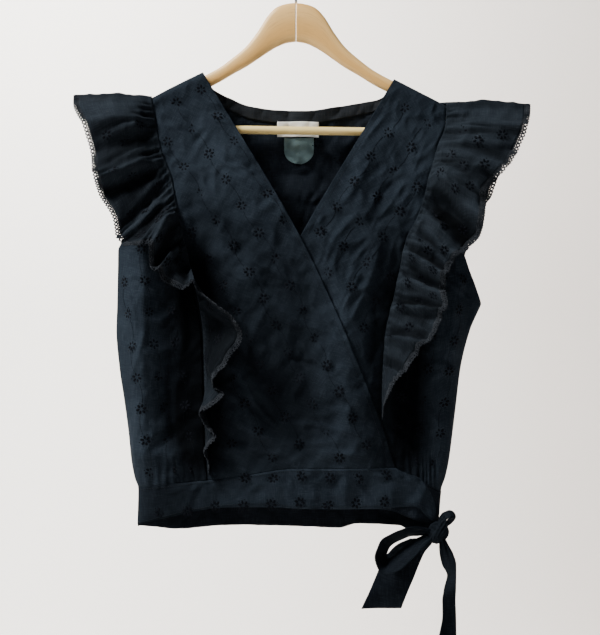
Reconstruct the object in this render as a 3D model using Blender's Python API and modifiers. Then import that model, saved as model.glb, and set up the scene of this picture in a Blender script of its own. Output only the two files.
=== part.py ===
import bisect
import math

import bmesh
import bpy
from mathutils import Vector

# Ruffled wrap top on a wooden hanger.
# X runs to the right as seen from the front, the front faces -Y and Z is up.
# The origin is the inside top of the hook. Sizes and tables are in millimetres.

MM = 0.001
COLLECTION = "ruffle_wrap_top"

# Cloth
CLOTH = 1.2
LACE = 1.0
GAP = 0.3
EDGE_GAP = 0.3
TURN_GAP = 0.45
BAND_GAP = 0.8
LACE_GAP = 0.8
LAYER = 3.0
LINING_STEP = 1.7

# Hanger
TILT = 0.014
SHOULDER_DROP = 149.8
SHOULDER_AT = 120.0
SHOULDER_SLOPE = 0.50
SHOULDER_ROUND = 10.0
WOOD_THICK = 11.0
WOOD_EDGE = 2.5
WOOD_UNDER_CLOTH = 2.4
BAR_RADIUS = 5.2
BAR_Z = -216.9
BAR_HALF_LENGTH = 191.7
HOOK_RADIUS = 20.0
HOOK_WIRE = 1.7
HOOK_TURN_Z = -44.0
HOOK_FOOT_Z = -57.9

# Cross-section of the body: a flat oval
SECTION_POWER = 0.72
SIDE_FADE = 2.5
RIGHT_ANGLE = math.pi / 2
SETTLE_PASSES = 4

# Where the wrap-over layer rises from the under layer
OVER_FROM_X = -212.0
OVER_FULL_X = -125.0

# Corners of the panels: across at the shoulder, and the height at the waistband
OVER_NECK_X = -115.0
LEFT_SEAM_X = -180.0
LEFT_ARMHOLE_X = -192.0
UNDER_NECK_X = 122.5
RIGHT_SEAM_X = 187.5
RIGHT_ARMHOLE_X = 199.0
OVER_WAIST_Z = -636.5
LEFT_SEAM_WAIST_Z = -650.5
LEFT_SIDE_WAIST_Z = -661.5
UNDER_WAIST_Z = -650.5
RIGHT_SEAM_WAIST_Z = -641.0
RIGHT_SIDE_WAIST_Z = -667.5
PAST_SIDE_X = 1000.0

# Rows and columns of the panels and bands
PANEL_ROWS = 14
OVER_COLUMNS = 16
UNDER_COLUMNS = 12
SIDE_COLUMNS = 12
OVER_BAND_GRID = (3, 26)
UNDER_BAND_GRID = (2, 20)
BACK_BAND_GRID = (3, 28)
BACK_CORNER_Z = -190.0
BACK_MORE_COLUMNS = (-171, -133, 33, 142, 180)

# Ends of the waistband: top and bottom, with the under part's inner end as well
OVER_BAND_LEFT = (-662, -709)
UNDER_BAND_INNER = (-96, -651, -684)
UNDER_BAND_RIGHT = (-668, -711)
BACK_BAND_LEFT = (-662, -710)
BACK_BAND_RIGHT = (-668, -714)
BAND_JOIN_X = 118


class Table:
    # Rows under named columns, read between rows along a smooth curve without overshoot.
    def __init__(self, columns, *rows):
        self.names = columns.split()
        self.rows = sorted(rows)
        self.keys = [row[0] for row in self.rows]

    def slope(self, values, i):
        if i == 0:
            return (values[1] - values[0]) / (self.keys[1] - self.keys[0])
        if i == len(values) - 1:
            return (values[i] - values[i - 1]) / (self.keys[i] - self.keys[i - 1])
        before = (values[i] - values[i - 1]) / (self.keys[i] - self.keys[i - 1])
        after = (values[i + 1] - values[i]) / (self.keys[i + 1] - self.keys[i])
        if before * after <= 0:
            return 0.0
        return 2 * before * after / (before + after)

    def read(self, name, at):
        column = self.names.index(name)
        values = [row[column] for row in self.rows]
        at = min(max(at, self.keys[0]), self.keys[-1])
        i = min(max(bisect.bisect_right(self.keys, at) - 1, 0), len(values) - 2)
        span = self.keys[i + 1] - self.keys[i]
        t = (at - self.keys[i]) / span
        start = self.slope(values, i) * span
        end = self.slope(values, i + 1) * span
        return (
            values[i] * (2 * t**3 - 3 * t**2 + 1)
            + start * (t**3 - 2 * t**2 + t)
            + values[i + 1] * (3 * t**2 - 2 * t**3)
            + end * (t**3 - t**2)
        )


# Body, a row for each height: the side outline and how far front and back stand off
BODY = Table(
    "z left right front back",
    (-140, -300, 300, 9, 9),
    (-190, -296, 296, 11, 11),
    (-250, -285, 288, 20, 15),
    (-310, -250, 276, 29, 19),
    (-366, -222, 258, 35, 22),
    (-434, -223, 231, 39, 25),
    (-466, -224, 217, 40, 26),
    (-514, -220, 205, 40, 27),
    (-554, -214, 200, 39, 27),
    (-591, -209, 195.5, 38, 27),
    (-629, -205, 190.5, 36.5, 26),
    (-650, -201, 186, 35, 25),
    (-665, -196, 181, 33.5, 24),
    (-716, -197.5, 177, 31, 22),
)

# Seam lines and free edges, x at each height
LEFT_SEAM = Table(
    "z x",
    (-176, -180), (-204, -175), (-246, -166), (-274, -155), (-322, -145),
    (-379, -132.5), (-479, -114), (-604, -111), (-660, -106),
)
RIGHT_SEAM = Table(
    "z x",
    (-186, 187.5), (-210, 186), (-241, 175), (-276, 165), (-329, 149), (-354, 136),
    (-381, 130), (-429, 120), (-466, 111), (-504, 107.5), (-554, 106), (-660, 113),
)
WRAP_EDGE = Table(
    "z x",
    (-145, -115), (-350, 5), (-429, 42.5), (-504, 74), (-585, 105), (-636, 121),
)
UNDER_EDGE = Table(
    "z x",
    (-153, 122.5), (-347, 9), (-429, -35), (-504, -62), (-585, -84), (-650, -96),
)
LEFT_ARMHOLE = Table("z x", (-182, -192), (-230, -188), (-290, -192), (-340, -206), (-366, -222))
RIGHT_ARMHOLE = Table(
    "z x",
    (-192, 199), (-240, 193), (-300, 192), (-350, 200), (-380, 210), (-416, 224), (-434, 231),
)
BACK_SEAM = Table("z x", (-176, 180), (-230, 172), (-300, 165), (-420, 160))

# Waistband, heights along x
BAND_TOP = Table("x z", (-200, -662), (-76, -647), (5, -636), (121, -636))
BAND_HEM = Table(
    "x z",
    (-200, -709), (-151, -697.5), (-95, -687.5), (-57, -686), (5, -689), (55, -690),
    (99, -689), (144, -686), (163, -701), (173, -706),
)
BAND_END = Table("part x z", (0, 121, -636), (0.45, 154, -660), (0.7, 168, -679), (1, 173, -706))
UNDER_BAND_TOP = Table("x z", (-96, -651), (60, -641), (121, -642), (182, -668))
UNDER_BAND_HEM = Table("x z", (-96, -684), (60, -684), (110, -687), (150, -702), (182, -711))
BACK_BAND_TOP = Table("x z", (-200, -662), (-60, -655), (60, -655), (182, -668))
BACK_BAND_HEM = Table(
    "x z",
    (-200, -710), (-145, -712.5), (-89, -705), (-20, -706), (55, -709), (76, -703),
    (130, -706), (142, -712), (182, -714),
)

# Top of the back, a row for each corner of the shoulders and neck
BACK_TOP = Table(
    "x z",
    (-192, -183), (-150, -162.7), (-116, -146.2), (-115, -148.6), (-113.5, -151.5), (-111, -156),
    (-104, -164), (-82, -175.5), (-57.5, -185), (-25, -189.5), (11, -190.6), (55, -185),
    (80, -181), (100, -177.5), (113, -171), (119, -162), (120.8, -158), (122, -155.4),
    (123, -153), (160, -172), (199, -192),
)
NECK_FACING_HEIGHT = Table("x tall", (-104, 15), (-57.5, 16), (11, 17), (80, 15), (109, 13))

# Large folds of the body, from one end to the other
FRONT_FOLDS = Table(
    "name x1 z1 x2 z2 wide high",
    (1, -120, -215, -30, -330, 17, 2.4),
    (2, -128, -300, -20, -420, 20, -2.6),
    (3, -100, -360, 20, -470, 18, 2.8),
    (4, -95, -470, 60, -590, 22, -2.6),
    (5, -85, -560, 20, -640, 15, 2.2),
    (6, 118, -215, 60, -300, 15, 2.0),
    (7, 100, -320, 55, -400, 14, -2.0),
    (8, -186, -622, -112, -616, 15, 5.0),
)
# The front hangs in wide upright swells below the chest: how far it stands out across it
FRONT_SWELL = Table(
    "x high",
    (-222, 0), (-208, 5), (-196, 10), (-188, 11), (-180, 6), (-168, -3), (-150, -12), (-138, -15),
    (-128, -13), (-118, -8), (-108, -3), (-98, 0), (-70, -3), (-25, -8), (5, -8), (38, -2),
    (62, 2), (84, -2), (104, -8), (128, -13), (144, -13), (156, -9), (168, -2), (182, 6),
    (195, 9), (204, 6), (212, 0),
)
SWELL_HEIGHT = Table(
    "z part",
    (-648, 0), (-636, 0.12), (-620, 0.5), (-600, 0.85), (-570, 1), (-540, 1), (-440, 1),
    (-390, 0.75), (-340, 0.2), (-310, 0),
)
BACK_FOLDS = Table(
    "name x1 z1 x2 z2 wide high",
    (1, -120, -260, -20, -420, 20, 2.2),
    (2, 130, -260, 40, -440, 20, 2.2),
    (3, -170, -400, -120, -640, 18, -2.4),
    (4, 150, -380, 130, -640, 18, -2.4),
    (5, 0, -380, 30, -640, 24, 2.4),
    (6, -60, -440, -70, -640, 18, -2.2),
    (7, 80, -460, 85, -640, 16, 2.0),
)

# Gathers above the waistband: where each run starts and ends, and how many waves it has
GATHERS = Table(
    "name side x1 x2 waves high tall",
    (1, -1, -192, -100, 9, 1.5, 62),
    (2, -1, 136, 178, 5, 1.5, 75),
    (3, 1, -180, 170, 20, 1.5, 60),
)

# Ruffles, a row for each fold. drop is the way down the seam, negative on the back
RUFFLE_LEFT = Table(
    "drop x z y wide",
    (-190, -168, -392, 27, 14),
    (-160, -182, -372, 42, 40),
    (-135, -203, -352, 34, 58),
    (-110, -210, -325, 50, 66),
    (-88, -222, -300, 38, 74),
    (-66, -238, -274, 50, 80),
    (-46, -248, -246, 34, 86),
    (-26, -260, -212, 30, 94),
    (-12, -271, -190, 15, 97),
    (0, -277, -173, 0, 97),
    (12, -274, -193, -20, 97),
    (28, -258, -226, -38, 94),
    (44, -250, -254, -30, 92),
    (60, -246, -279, -48, 90),
    (76, -240, -301, -40, 88),
    (92, -220, -332, -56, 86),
    (110, -215, -358, -46, 84),
    (128, -201, -365, -68, 82),
    (148, -179, -366, -58, 76),
    (172, -172, -393, -74, 72),
    (196, -161, -407, -60, 66),
    (214, -132, -415, -76, 60),
    (232, -114, -425, -68, 56),
    (252, -92, -437, -78, 54),
    (286, -66, -472, -70, 56),
    (303, -84, -502, -78, 50),
    (320, -101, -527, -62, 44),
    (333, -97, -536, -51, 40),
    (346, -89, -545, -58, 36),
    (359, -102, -556, -66, 32),
    (372, -117, -566, -56, 28),
    (386, -109, -580, -48, 26),
    (400, -98, -594, -54, 22),
    (413, -105, -602, -58, 18),
    (426, -111, -612, -51, 14),
    (446, -106, -628, -46, 11),
    (466, -105, -644, -43, 10),
)
RUFFLE_RIGHT = Table(
    "drop x z y wide",
    (-190, 172, -412, 27, 14),
    (-160, 195, -397, 42, 40),
    (-135, 210, -379, 34, 58),
    (-112, 220, -362, 52, 70),
    (-90, 236, -341, 42, 76),
    (-68, 245, -310, 54, 82),
    (-48, 254, -281, 38, 86),
    (-28, 270, -240, 34, 96),
    (-12, 288, -204, 16, 102),
    (0, 292, -185, 0, 105),
    (12, 289, -201, -18, 102),
    (26, 283, -222, -36, 100),
    (40, 276, -240, -28, 98),
    (52, 267, -254, -44, 96),
    (64, 255, -272, -52, 92),
    (78, 240, -288, -40, 88),
    (92, 231, -304, -54, 84),
    (106, 229, -319, -44, 82),
    (120, 227, -343, -60, 80),
    (138, 212, -362, -50, 78),
    (154, 199, -379, -66, 74),
    (170, 188, -391, -56, 70),
    (188, 181, -408, -72, 66),
    (206, 179, -423, -60, 62),
    (224, 183, -439, -74, 60),
    (244, 176, -454, -62, 56),
    (266, 161, -481, -72, 54),
    (288, 142, -500, -60, 46),
    (308, 130, -516, -68, 38),
    (330, 120, -528, -56, 30),
    (350, 112, -544, -58, 22),
    (372, 108, -557, -50, 14),
    (392, 105, -572, -47, 10),
)
RUFFLE_RISE = 2.2
RIGHT_RUFFLE_RISE = 0.3
RUFFLE_GATHERS = 15.0
GATHER_SAMPLES = 3
RUFFLE_GATHER_HIGH = 1.5
RUFFLE_BULGE = 0.36
RUFFLE_LIFT = 0.5
RUFFLE_LEVELS = (0.0, 0.16, 0.4, 0.7, 1.0)
LACE_WIDE = 7.0
LACE_SMOOTHING = 3

# Tie at the hip
KNOT_AT = (176.0, -19.9, -715.5)
KNOT_RADII = (12.8, 9.6, 13.2)
RIGHT_TAIL = Table(
    "z left right y1 y2",
    (-728.9, 176.8, 186.5, -19.2, -21.2),
    (-742, 178, 194, -16.2, -22.2),
    (-756, 181, 198, -14.2, -23.2),
    (-771, 188, 198, -10.2, -21.2),
    (-786, 184, 198, -14.2, -20.2),
    (-801, 181, 198, -20.2, -14.2),
    (-818, 181, 198.5, -22.2, -14.2),
    (-847, 176, 199, -21.2, -15.2),
    (-868, 172, 200, -18.2, -16.2),
)
LEFT_TAIL = Table(
    "z left right y1 y2",
    (-728.9, 160, 174, -17.2, -18.7),
    (-742, 138, 161, -9.2, -13.2),
    (-754, 122, 156, -8.2, -15.2),
    (-771, 101, 150, -9.2, -15.2),
    (-791, 91, 140, -12.2, -11.2),
    (-812, 81, 131, -14.2, -10.2),
)
LEFT_LOOP = Table(
    "part x z y wide",
    (0, 163, -713, -20.6, 13),
    (1, 145, -712, -21.2, 18),
    (2, 124, -717, -22.2, 20),
    (3, 108, -728, -23.2, 21),
    (4, 103, -744, -25.2, 21),
    (5, 108, -758, -27.2, 20),
    (6, 120, -752, -28.2, 20),
    (7, 137, -739, -27.2, 19),
    (8, 150, -729, -25.2, 17),
    (9, 163, -722, -21.7, 12),
)
RIGHT_LOOP = Table(
    "part x z y wide",
    (0, 180, -702.4, -19.2, 8),
    (1, 186, -692, -18.7, 9),
    (2, 194, -690, -19.2, 10),
    (3, 198, -696, -20.2, 10),
    (4, 194, -702, -20.2, 9),
    (5, 187, -706, -19.8, 7),
)
LOOP_SLANT = 0.5
TAIL_BELLY = 1.6
TAIL_TWIST_Z = -795.0

# Labels, both bare
WHITE_LABEL = (-24.0, 29.0, -205.0, -224.0)
ROUND_LABEL = (-15.0, 22.5, -224.8, -257.0)
LABEL_THICK = 1.0
FACING_THICK = 1.0
FACING_DROP = 1.0
FACING_GRID = (16, 1)
WHITE_LABEL_GRID = (3, 2)
ROUND_LABEL_GRID = (4, 7)

# Hanger half: points of its top and under edges, out from the middle
WOOD_TOP = (
    (0.2, -57.5), (12, -58.7), (24, -63), (34, -72.5), (48.5, -95), (62, -112.5), (78, -126.5),
    (98, -138.8 - WOOD_UNDER_CLOTH), (192, -185.8 - WOOD_UNDER_CLOTH), (206, -194 - WOOD_UNDER_CLOTH),
    (216, -204), (223, -216),
)
WOOD_UNDER = (
    (223, -226), (216, -230), (206, -230), (192, -226), (192, -209.5), (180, -202), (150, -186),
    (120, -170), (98, -159), (78, -147), (62, -138), (48.5, -129), (34, -119), (24, -113), (12, -108),
    (0.2, -106),
)

# Colours: base colour, roughness, metallic
CLOTH_COLOUR = ((0.022, 0.03, 0.042), 0.85, 0.0)
INSIDE_COLOUR = ((0.016, 0.022, 0.03), 0.85, 0.0)
LACE_COLOUR = ((0.03, 0.035, 0.042), 0.7, 0.0)
WHITE_COLOUR = ((0.9, 0.9, 0.88), 0.7, 0.0)
TEAL_COLOUR = ((0.14, 0.23, 0.24), 0.7, 0.0)
WOOD_COLOUR = ((0.72, 0.5, 0.28), 0.5, 0.0)
STEEL_COLOUR = ((0.6, 0.6, 0.6), 0.25, 1.0)


def mix(a, b, t):
    return a + (b - a) * t


def smooth(t):
    t = min(max(t, 0.0), 1.0)
    return t * t * (3 - 2 * t)


def steps(count):
    return [i / count for i in range(count + 1)]


def shoulder_line(x):
    return -SHOULDER_DROP - SHOULDER_SLOPE * (abs(x) - SHOULDER_AT) - TILT * x


def shoulder_wrap(below):
    # Cloth over the arm of the hanger: a quarter round, then straight down
    if below >= SHOULDER_ROUND:
        return 1.0
    return math.sqrt(max(1 - (1 - max(below, 0.0) / SHOULDER_ROUND) ** 2, 0.0))


def fold_height(folds, x, z):
    # Each fold is a soft ridge or trough about a line, dying out at both ends
    high = 0.0
    for _, x1, z1, x2, z2, wide, peak in folds.rows:
        length = math.hypot(x2 - x1, z2 - z1)
        along = ((x - x1) * (x2 - x1) + (z - z1) * (z2 - z1)) / length
        across = ((x - x1) * (z2 - z1) - (z - z1) * (x2 - x1)) / length
        ends = smooth((along + wide) / (2 * wide)) * smooth((length + wide - along) / (2 * wide))
        high += peak * ends * math.exp(-((across / wide) ** 2) * 1.6)
    return high


def gather_height(side, x, z):
    high = 0.0
    for _, on, x1, x2, waves, peak, tall in GATHERS.rows:
        if on != side or not x1 < x < x2:
            continue
        part = (x - x1) / (x2 - x1)
        band = BACK_BAND_TOP
        if side < 0:
            band = BAND_TOP if x < BAND_JOIN_X else UNDER_BAND_TOP
        up = z - band.read("z", x)
        if up < 0:
            continue
        fade = smooth(1 - up / (tall * (0.75 + 0.25 * math.sin(waves * part * 2.3))))
        ends = smooth(part * waves) * smooth((1 - part) * waves)
        high += peak * fade * ends * math.sin(2 * math.pi * waves * part)
    return high


def body_sides(z, grow):
    return BODY.read("left", z) - grow, BODY.read("right", z) + grow


def angle_at(x, z, grow=0.0):
    left, right = body_sides(z, grow)
    part = (2 * x - left - right) / (right - left)
    return math.asin(min(max(part, -1.0), 1.0))


def body_point(angle, z, side, grow=0.0):
    # side is -1 on the front and 1 on the back; grow moves the point out from the body
    left, right = body_sides(z, grow)
    x = mix(left, right, (math.sin(angle) + 1) / 2)
    across = max(math.cos(angle), 0.0)
    depth = BODY.read("front" if side < 0 else "back", z) + grow
    wrap = shoulder_wrap(shoulder_line(x) + grow - z)
    folds = fold_height(FRONT_FOLDS if side < 0 else BACK_FOLDS, x, z)
    if side < 0:
        folds += FRONT_SWELL.read("high", x) * SWELL_HEIGHT.read("part", z)
    relief = (folds + gather_height(side, x, z)) * min(across * SIDE_FADE, 1.0)
    if wrap < 1:
        z = min(z, shoulder_line(x) + grow)
    return Vector((x, side * (TURN_GAP + depth * across**SECTION_POWER * wrap + relief * wrap), z))


def over_grow(x):
    return LAYER * smooth((x - OVER_FROM_X) / (OVER_FULL_X - OVER_FROM_X))


def flat_grow(x):
    return 0.0


def edge(table, top, bottom, shift=0.0):
    # A seam or free edge between two heights, as a function of the part down it
    def at(part):
        z = mix(top, bottom, part)
        return table.read("x", z) + shift, z
    return at


def side_edge(armhole, top, bottom, sign):
    # Down the armhole, then down the side seam where front and back meet
    def at(part):
        z = mix(top, bottom, part)
        if z < armhole.keys[0]:
            return sign * PAST_SIDE_X, z
        return armhole.read("x", z), z
    return at


def panel_grid(rows, columns, left, right, side, grow=flat_grow, top=None, bottom=None):
    grid = []
    for down in rows:
        x_left, z_left = left(down)
        x_right, z_right = right(down)
        start = angle_at(x_left, z_left)
        end = angle_at(x_right, z_right)
        line = []
        for across in columns:
            angle = mix(start, end, across)
            level = z = mix(z_left, z_right, across)
            for _ in range(SETTLE_PASSES):
                x = body_point(angle, z, side).x
                z = level
                if top:
                    z += (top(x) - mix(left(0)[1], right(0)[1], across)) * smooth(1 - down)
                if bottom:
                    z += (bottom(x) - mix(left(1)[1], right(1)[1], across)) * smooth(down)
            line.append(body_point(angle, z, side, grow(x)))
        grid.append(line)
    return grid


def make_material(name, colour):
    base, roughness, metallic = colour
    material = bpy.data.materials.new(name)
    material.use_nodes = True
    shader = material.node_tree.nodes["Principled BSDF"]
    shader.inputs["Base Color"].default_value = (*base, 1.0)
    shader.inputs["Roughness"].default_value = roughness
    shader.inputs["Metallic"].default_value = metallic
    return material


def add_object(name, mesh, colour, collection):
    mesh.materials.append(make_material(name, colour))
    item = bpy.data.objects.new(name, mesh)
    collection.objects.link(item)
    return item


def add_sheet(name, grid, colour, collection, thick=CLOTH):
    # An open surface of quads through the grid, given its wall by Solidify
    shape = bmesh.new()
    points = [[shape.verts.new(point * MM) for point in line] for line in grid]
    for upper, lower in zip(points, points[1:]):
        for i in range(len(upper) - 1):
            shape.faces.new((upper[i], lower[i], lower[i + 1], upper[i + 1]))
    mesh = bpy.data.meshes.new(name)
    shape.to_mesh(mesh)
    shape.free()
    mesh.shade_smooth()
    item = add_object(name, mesh, colour, collection)
    wall = item.modifiers.new("wall", "SOLIDIFY")
    wall.thickness = thick * MM
    wall.offset = 0.0
    wall.use_even_offset = False
    return item


def shoulder_rows(count):
    # Close rows where the cloth turns over the hanger, then even ones
    return [0.0, 0.005, 0.012, 0.024] + [mix(0.06, 1.0, part) for part in steps(count)]


def waist_edge(table):
    return lambda x: table.read("z", x) + BAND_GAP


def build_fronts(collection):
    left_top = shoulder_line(LEFT_SEAM_X)
    right_top = shoulder_line(RIGHT_SEAM_X)
    rows = shoulder_rows(PANEL_ROWS)
    over = panel_grid(
        rows, steps(OVER_COLUMNS),
        edge(LEFT_SEAM, left_top, LEFT_SEAM_WAIST_Z, EDGE_GAP),
        edge(WRAP_EDGE, shoulder_line(OVER_NECK_X), OVER_WAIST_Z),
        -1, over_grow, bottom=waist_edge(BAND_TOP),
    )
    add_sheet("front_over", over, CLOTH_COLOUR, collection)
    side_left = panel_grid(
        rows, steps(SIDE_COLUMNS),
        side_edge(LEFT_ARMHOLE, shoulder_line(LEFT_ARMHOLE_X), LEFT_SIDE_WAIST_Z, -1),
        edge(LEFT_SEAM, left_top, LEFT_SEAM_WAIST_Z, -EDGE_GAP),
        -1, over_grow, bottom=waist_edge(BAND_TOP),
    )
    add_sheet("side_front_left", side_left, CLOTH_COLOUR, collection)
    under = panel_grid(
        rows, steps(UNDER_COLUMNS),
        edge(UNDER_EDGE, shoulder_line(UNDER_NECK_X), UNDER_WAIST_Z),
        edge(RIGHT_SEAM, right_top, RIGHT_SEAM_WAIST_Z, -EDGE_GAP),
        -1, bottom=waist_edge(UNDER_BAND_TOP),
    )
    add_sheet("front_under", under, CLOTH_COLOUR, collection)
    side_right = panel_grid(
        rows, steps(SIDE_COLUMNS),
        edge(RIGHT_SEAM, right_top, RIGHT_SEAM_WAIST_Z, EDGE_GAP),
        side_edge(RIGHT_ARMHOLE, shoulder_line(RIGHT_ARMHOLE_X), RIGHT_SIDE_WAIST_Z, 1),
        -1, bottom=waist_edge(UNDER_BAND_TOP),
    )
    add_sheet("side_front_right", side_right, CLOTH_COLOUR, collection)


def back_columns():
    # A column at each row of the top's table, and more along the shoulders and sides
    left, right = BACK_TOP.keys[0], BACK_TOP.keys[-1]
    start, end = angle_at(left, BACK_CORNER_Z), angle_at(right, BACK_CORNER_Z)
    spots = sorted(BACK_TOP.keys + list(BACK_MORE_COLUMNS))
    parts = [(angle_at(x, BACK_CORNER_Z) - start) / (end - start) for x in spots]
    return [0.0] + parts[1:-1] + [1.0]


def build_back(collection):
    def top(x):
        return min(BACK_TOP.read("z", x), shoulder_line(x))

    back = panel_grid(
        shoulder_rows(PANEL_ROWS), back_columns(),
        side_edge(LEFT_ARMHOLE, shoulder_line(LEFT_ARMHOLE_X), LEFT_SIDE_WAIST_Z, -1),
        side_edge(RIGHT_ARMHOLE, shoulder_line(RIGHT_ARMHOLE_X), RIGHT_SIDE_WAIST_Z, 1),
        1, top=top, bottom=waist_edge(BACK_BAND_TOP),
    )
    back = [list(reversed(line)) for line in back]
    add_sheet("back", back, INSIDE_COLOUR, collection)


def inside_patch(x_left, x_right, z_top, z_bottom, columns, rows, inward, half_width=None):
    grid = []
    for down in steps(rows):
        line = []
        for across in steps(columns):
            x = mix(x_left, x_right, across)
            z = mix(z_top(x), z_bottom(x), down)
            if half_width:
                middle = (x_left + x_right) / 2
                x = middle + (x - middle) * half_width(down)
            line.append(body_point(angle_at(x, z), z, 1, -inward))
        grid.append(list(reversed(line)))
    return grid


def round_foot(down):
    # Straight sides, then a half round at the foot
    straight = 0.5
    if down <= straight:
        return 1.0
    return max(math.sqrt(max(1 - ((down - straight) / (1 - straight)) ** 2, 0.0)), 0.3)


def build_neck(collection):
    left, right = NECK_FACING_HEIGHT.keys[0], NECK_FACING_HEIGHT.keys[-1]
    facing = inside_patch(
        left, right, lambda x: BACK_TOP.read("z", x) - FACING_DROP,
        lambda x: BACK_TOP.read("z", x) - NECK_FACING_HEIGHT.read("tall", x), *FACING_GRID, LINING_STEP,
    )
    add_sheet("neck_facing", facing, CLOTH_COLOUR, collection, FACING_THICK)
    x1, x2, z1, z2 = WHITE_LABEL
    white = inside_patch(x1, x2, lambda x: z1, lambda x: z2, *WHITE_LABEL_GRID, 2 * LINING_STEP)
    add_sheet("label_white", white, WHITE_COLOUR, collection, LABEL_THICK)
    x1, x2, z1, z2 = ROUND_LABEL
    rounded = inside_patch(
        x1, x2, lambda x: z1, lambda x: z2, *ROUND_LABEL_GRID, LINING_STEP, round_foot,
    )
    add_sheet("label_rounded", rounded, TEAL_COLOUR, collection, LABEL_THICK)


def build_bands(collection):
    def over_end(part):
        return BAND_END.read("x", part), BAND_END.read("z", part)

    def side(sign, top, bottom):
        return lambda part: (sign * PAST_SIDE_X, mix(top, bottom, part))

    def level(x, top, bottom):
        return lambda part: (x, mix(top, bottom, part))

    over = panel_grid(
        *map(steps, OVER_BAND_GRID), side(-1, *OVER_BAND_LEFT), over_end, -1, over_grow,
        top=lambda x: BAND_TOP.read("z", x), bottom=lambda x: BAND_HEM.read("z", x),
    )
    add_sheet("waistband_over", over, CLOTH_COLOUR, collection)
    under = panel_grid(
        *map(steps, UNDER_BAND_GRID), level(*UNDER_BAND_INNER), side(1, *UNDER_BAND_RIGHT), -1,
        top=lambda x: UNDER_BAND_TOP.read("z", x), bottom=lambda x: UNDER_BAND_HEM.read("z", x),
    )
    add_sheet("waistband_under", under, INSIDE_COLOUR, collection)
    back = panel_grid(
        *map(steps, BACK_BAND_GRID), side(-1, *BACK_BAND_LEFT), side(1, *BACK_BAND_RIGHT), 1,
        top=lambda x: BACK_BAND_TOP.read("z", x), bottom=lambda x: BACK_BAND_HEM.read("z", x),
    )
    back = [list(reversed(line)) for line in back]
    add_sheet("waistband_back", back, INSIDE_COLOUR, collection)


def ruffle_seam(drop, sign):
    # A point just outside the seam, over the shoulder from back to front
    side = -1 if drop >= 0 else 1
    if side < 0:
        seam = LEFT_SEAM if sign < 0 else RIGHT_SEAM
        x_top = seam.read("x", seam.keys[-1])
    else:
        x_top = sign * BACK_SEAM.read("x", BACK_SEAM.keys[-1])
    z = shoulder_line(x_top) + RUFFLE_RISE - abs(drop)
    x = seam.read("x", z) if side < 0 else sign * BACK_SEAM.read("x", z)
    grow = RUFFLE_RISE + (over_grow(x) if sign < 0 and side < 0 else 0.0)
    grow += 0.0 if sign < 0 else RIGHT_RUFFLE_RISE
    return body_point(angle_at(x, z, grow), z, side, grow)


def ruffle_point(table, sign, drop, out):
    # out is 0 at the seam and 1 at the free edge
    seam = ruffle_seam(drop, sign)
    free = Vector((table.read("x", drop), table.read("y", drop), table.read("z", drop)))
    wide = table.read("wide", drop)
    chord = free - seam
    slack = math.sqrt(max(wide**2 - chord.length**2, 0.0))
    # Slack cloth arches out, square to the straight line from seam to edge
    along = chord.normalized()
    out_of_body = Vector((0, 1 if drop < 0 else -1, RUFFLE_LIFT))
    arch = (out_of_body - along * out_of_body.dot(along)).normalized()
    gather = RUFFLE_GATHER_HIGH * math.sin(2 * math.pi * drop / RUFFLE_GATHERS)
    gather *= smooth(out / 0.12) * smooth((0.95 - out) / 0.7) * smooth(abs(drop) / 12)
    return seam + chord * out + arch * (slack * RUFFLE_BULGE * math.sin(math.pi * out) + gather)


def ruffle_drops(table):
    # A few samples to a gather, closer where the seam turns over the shoulder
    first, last = table.keys[0], table.keys[-1]
    pitch = RUFFLE_GATHERS / GATHER_SAMPLES
    drops = [first + i * pitch for i in range(int((last - first) / pitch))]
    drops = [drop for drop in drops if abs(drop) > 12 and last - drop > 1]
    return sorted(drops + [-10, -5.5, -2, 0, 2, 5.5, 10, last])


def lace_strip(cloth):
    # Rows set square to the ruffle's free edge, in the plane of the cloth there
    free = [line[-1] for line in cloth]
    outward = []
    for i, line in enumerate(cloth):
        along = (free[min(i + 1, len(free) - 1)] - free[max(i - 1, 0)]).normalized()
        fall = line[-1] - line[-2]
        outward.append((fall - along * fall.dot(along)).normalized())
    for _ in range(LACE_SMOOTHING):
        last = len(outward) - 1
        outward = [
            (outward[max(i - 1, 0)] + outward[i] * 2 + outward[min(i + 1, last)]).normalized()
            for i in range(last + 1)
        ]
    return [[point + side * LACE_GAP, point + side * LACE_WIDE] for point, side in zip(free, outward)]


def build_ruffle(name, lace_name, table, sign, collection):
    cloth = []
    for drop in ruffle_drops(table):
        ends = ruffle_point(table, sign, drop, 1) - ruffle_point(table, sign, drop, 0)
        wide = max(table.read("wide", drop), ends.length)
        sewn = 1 - min(LACE_WIDE / wide, 0.5)
        cloth.append([ruffle_point(table, sign, drop, level * sewn) for level in RUFFLE_LEVELS])
    trim = lace_strip(cloth)
    if sign > 0:
        cloth = [list(reversed(line)) for line in cloth]
        trim = [list(reversed(line)) for line in trim]
    add_sheet(name, cloth, CLOTH_COLOUR, collection)
    add_sheet(lace_name, trim, LACE_COLOUR, collection, LACE)


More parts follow.
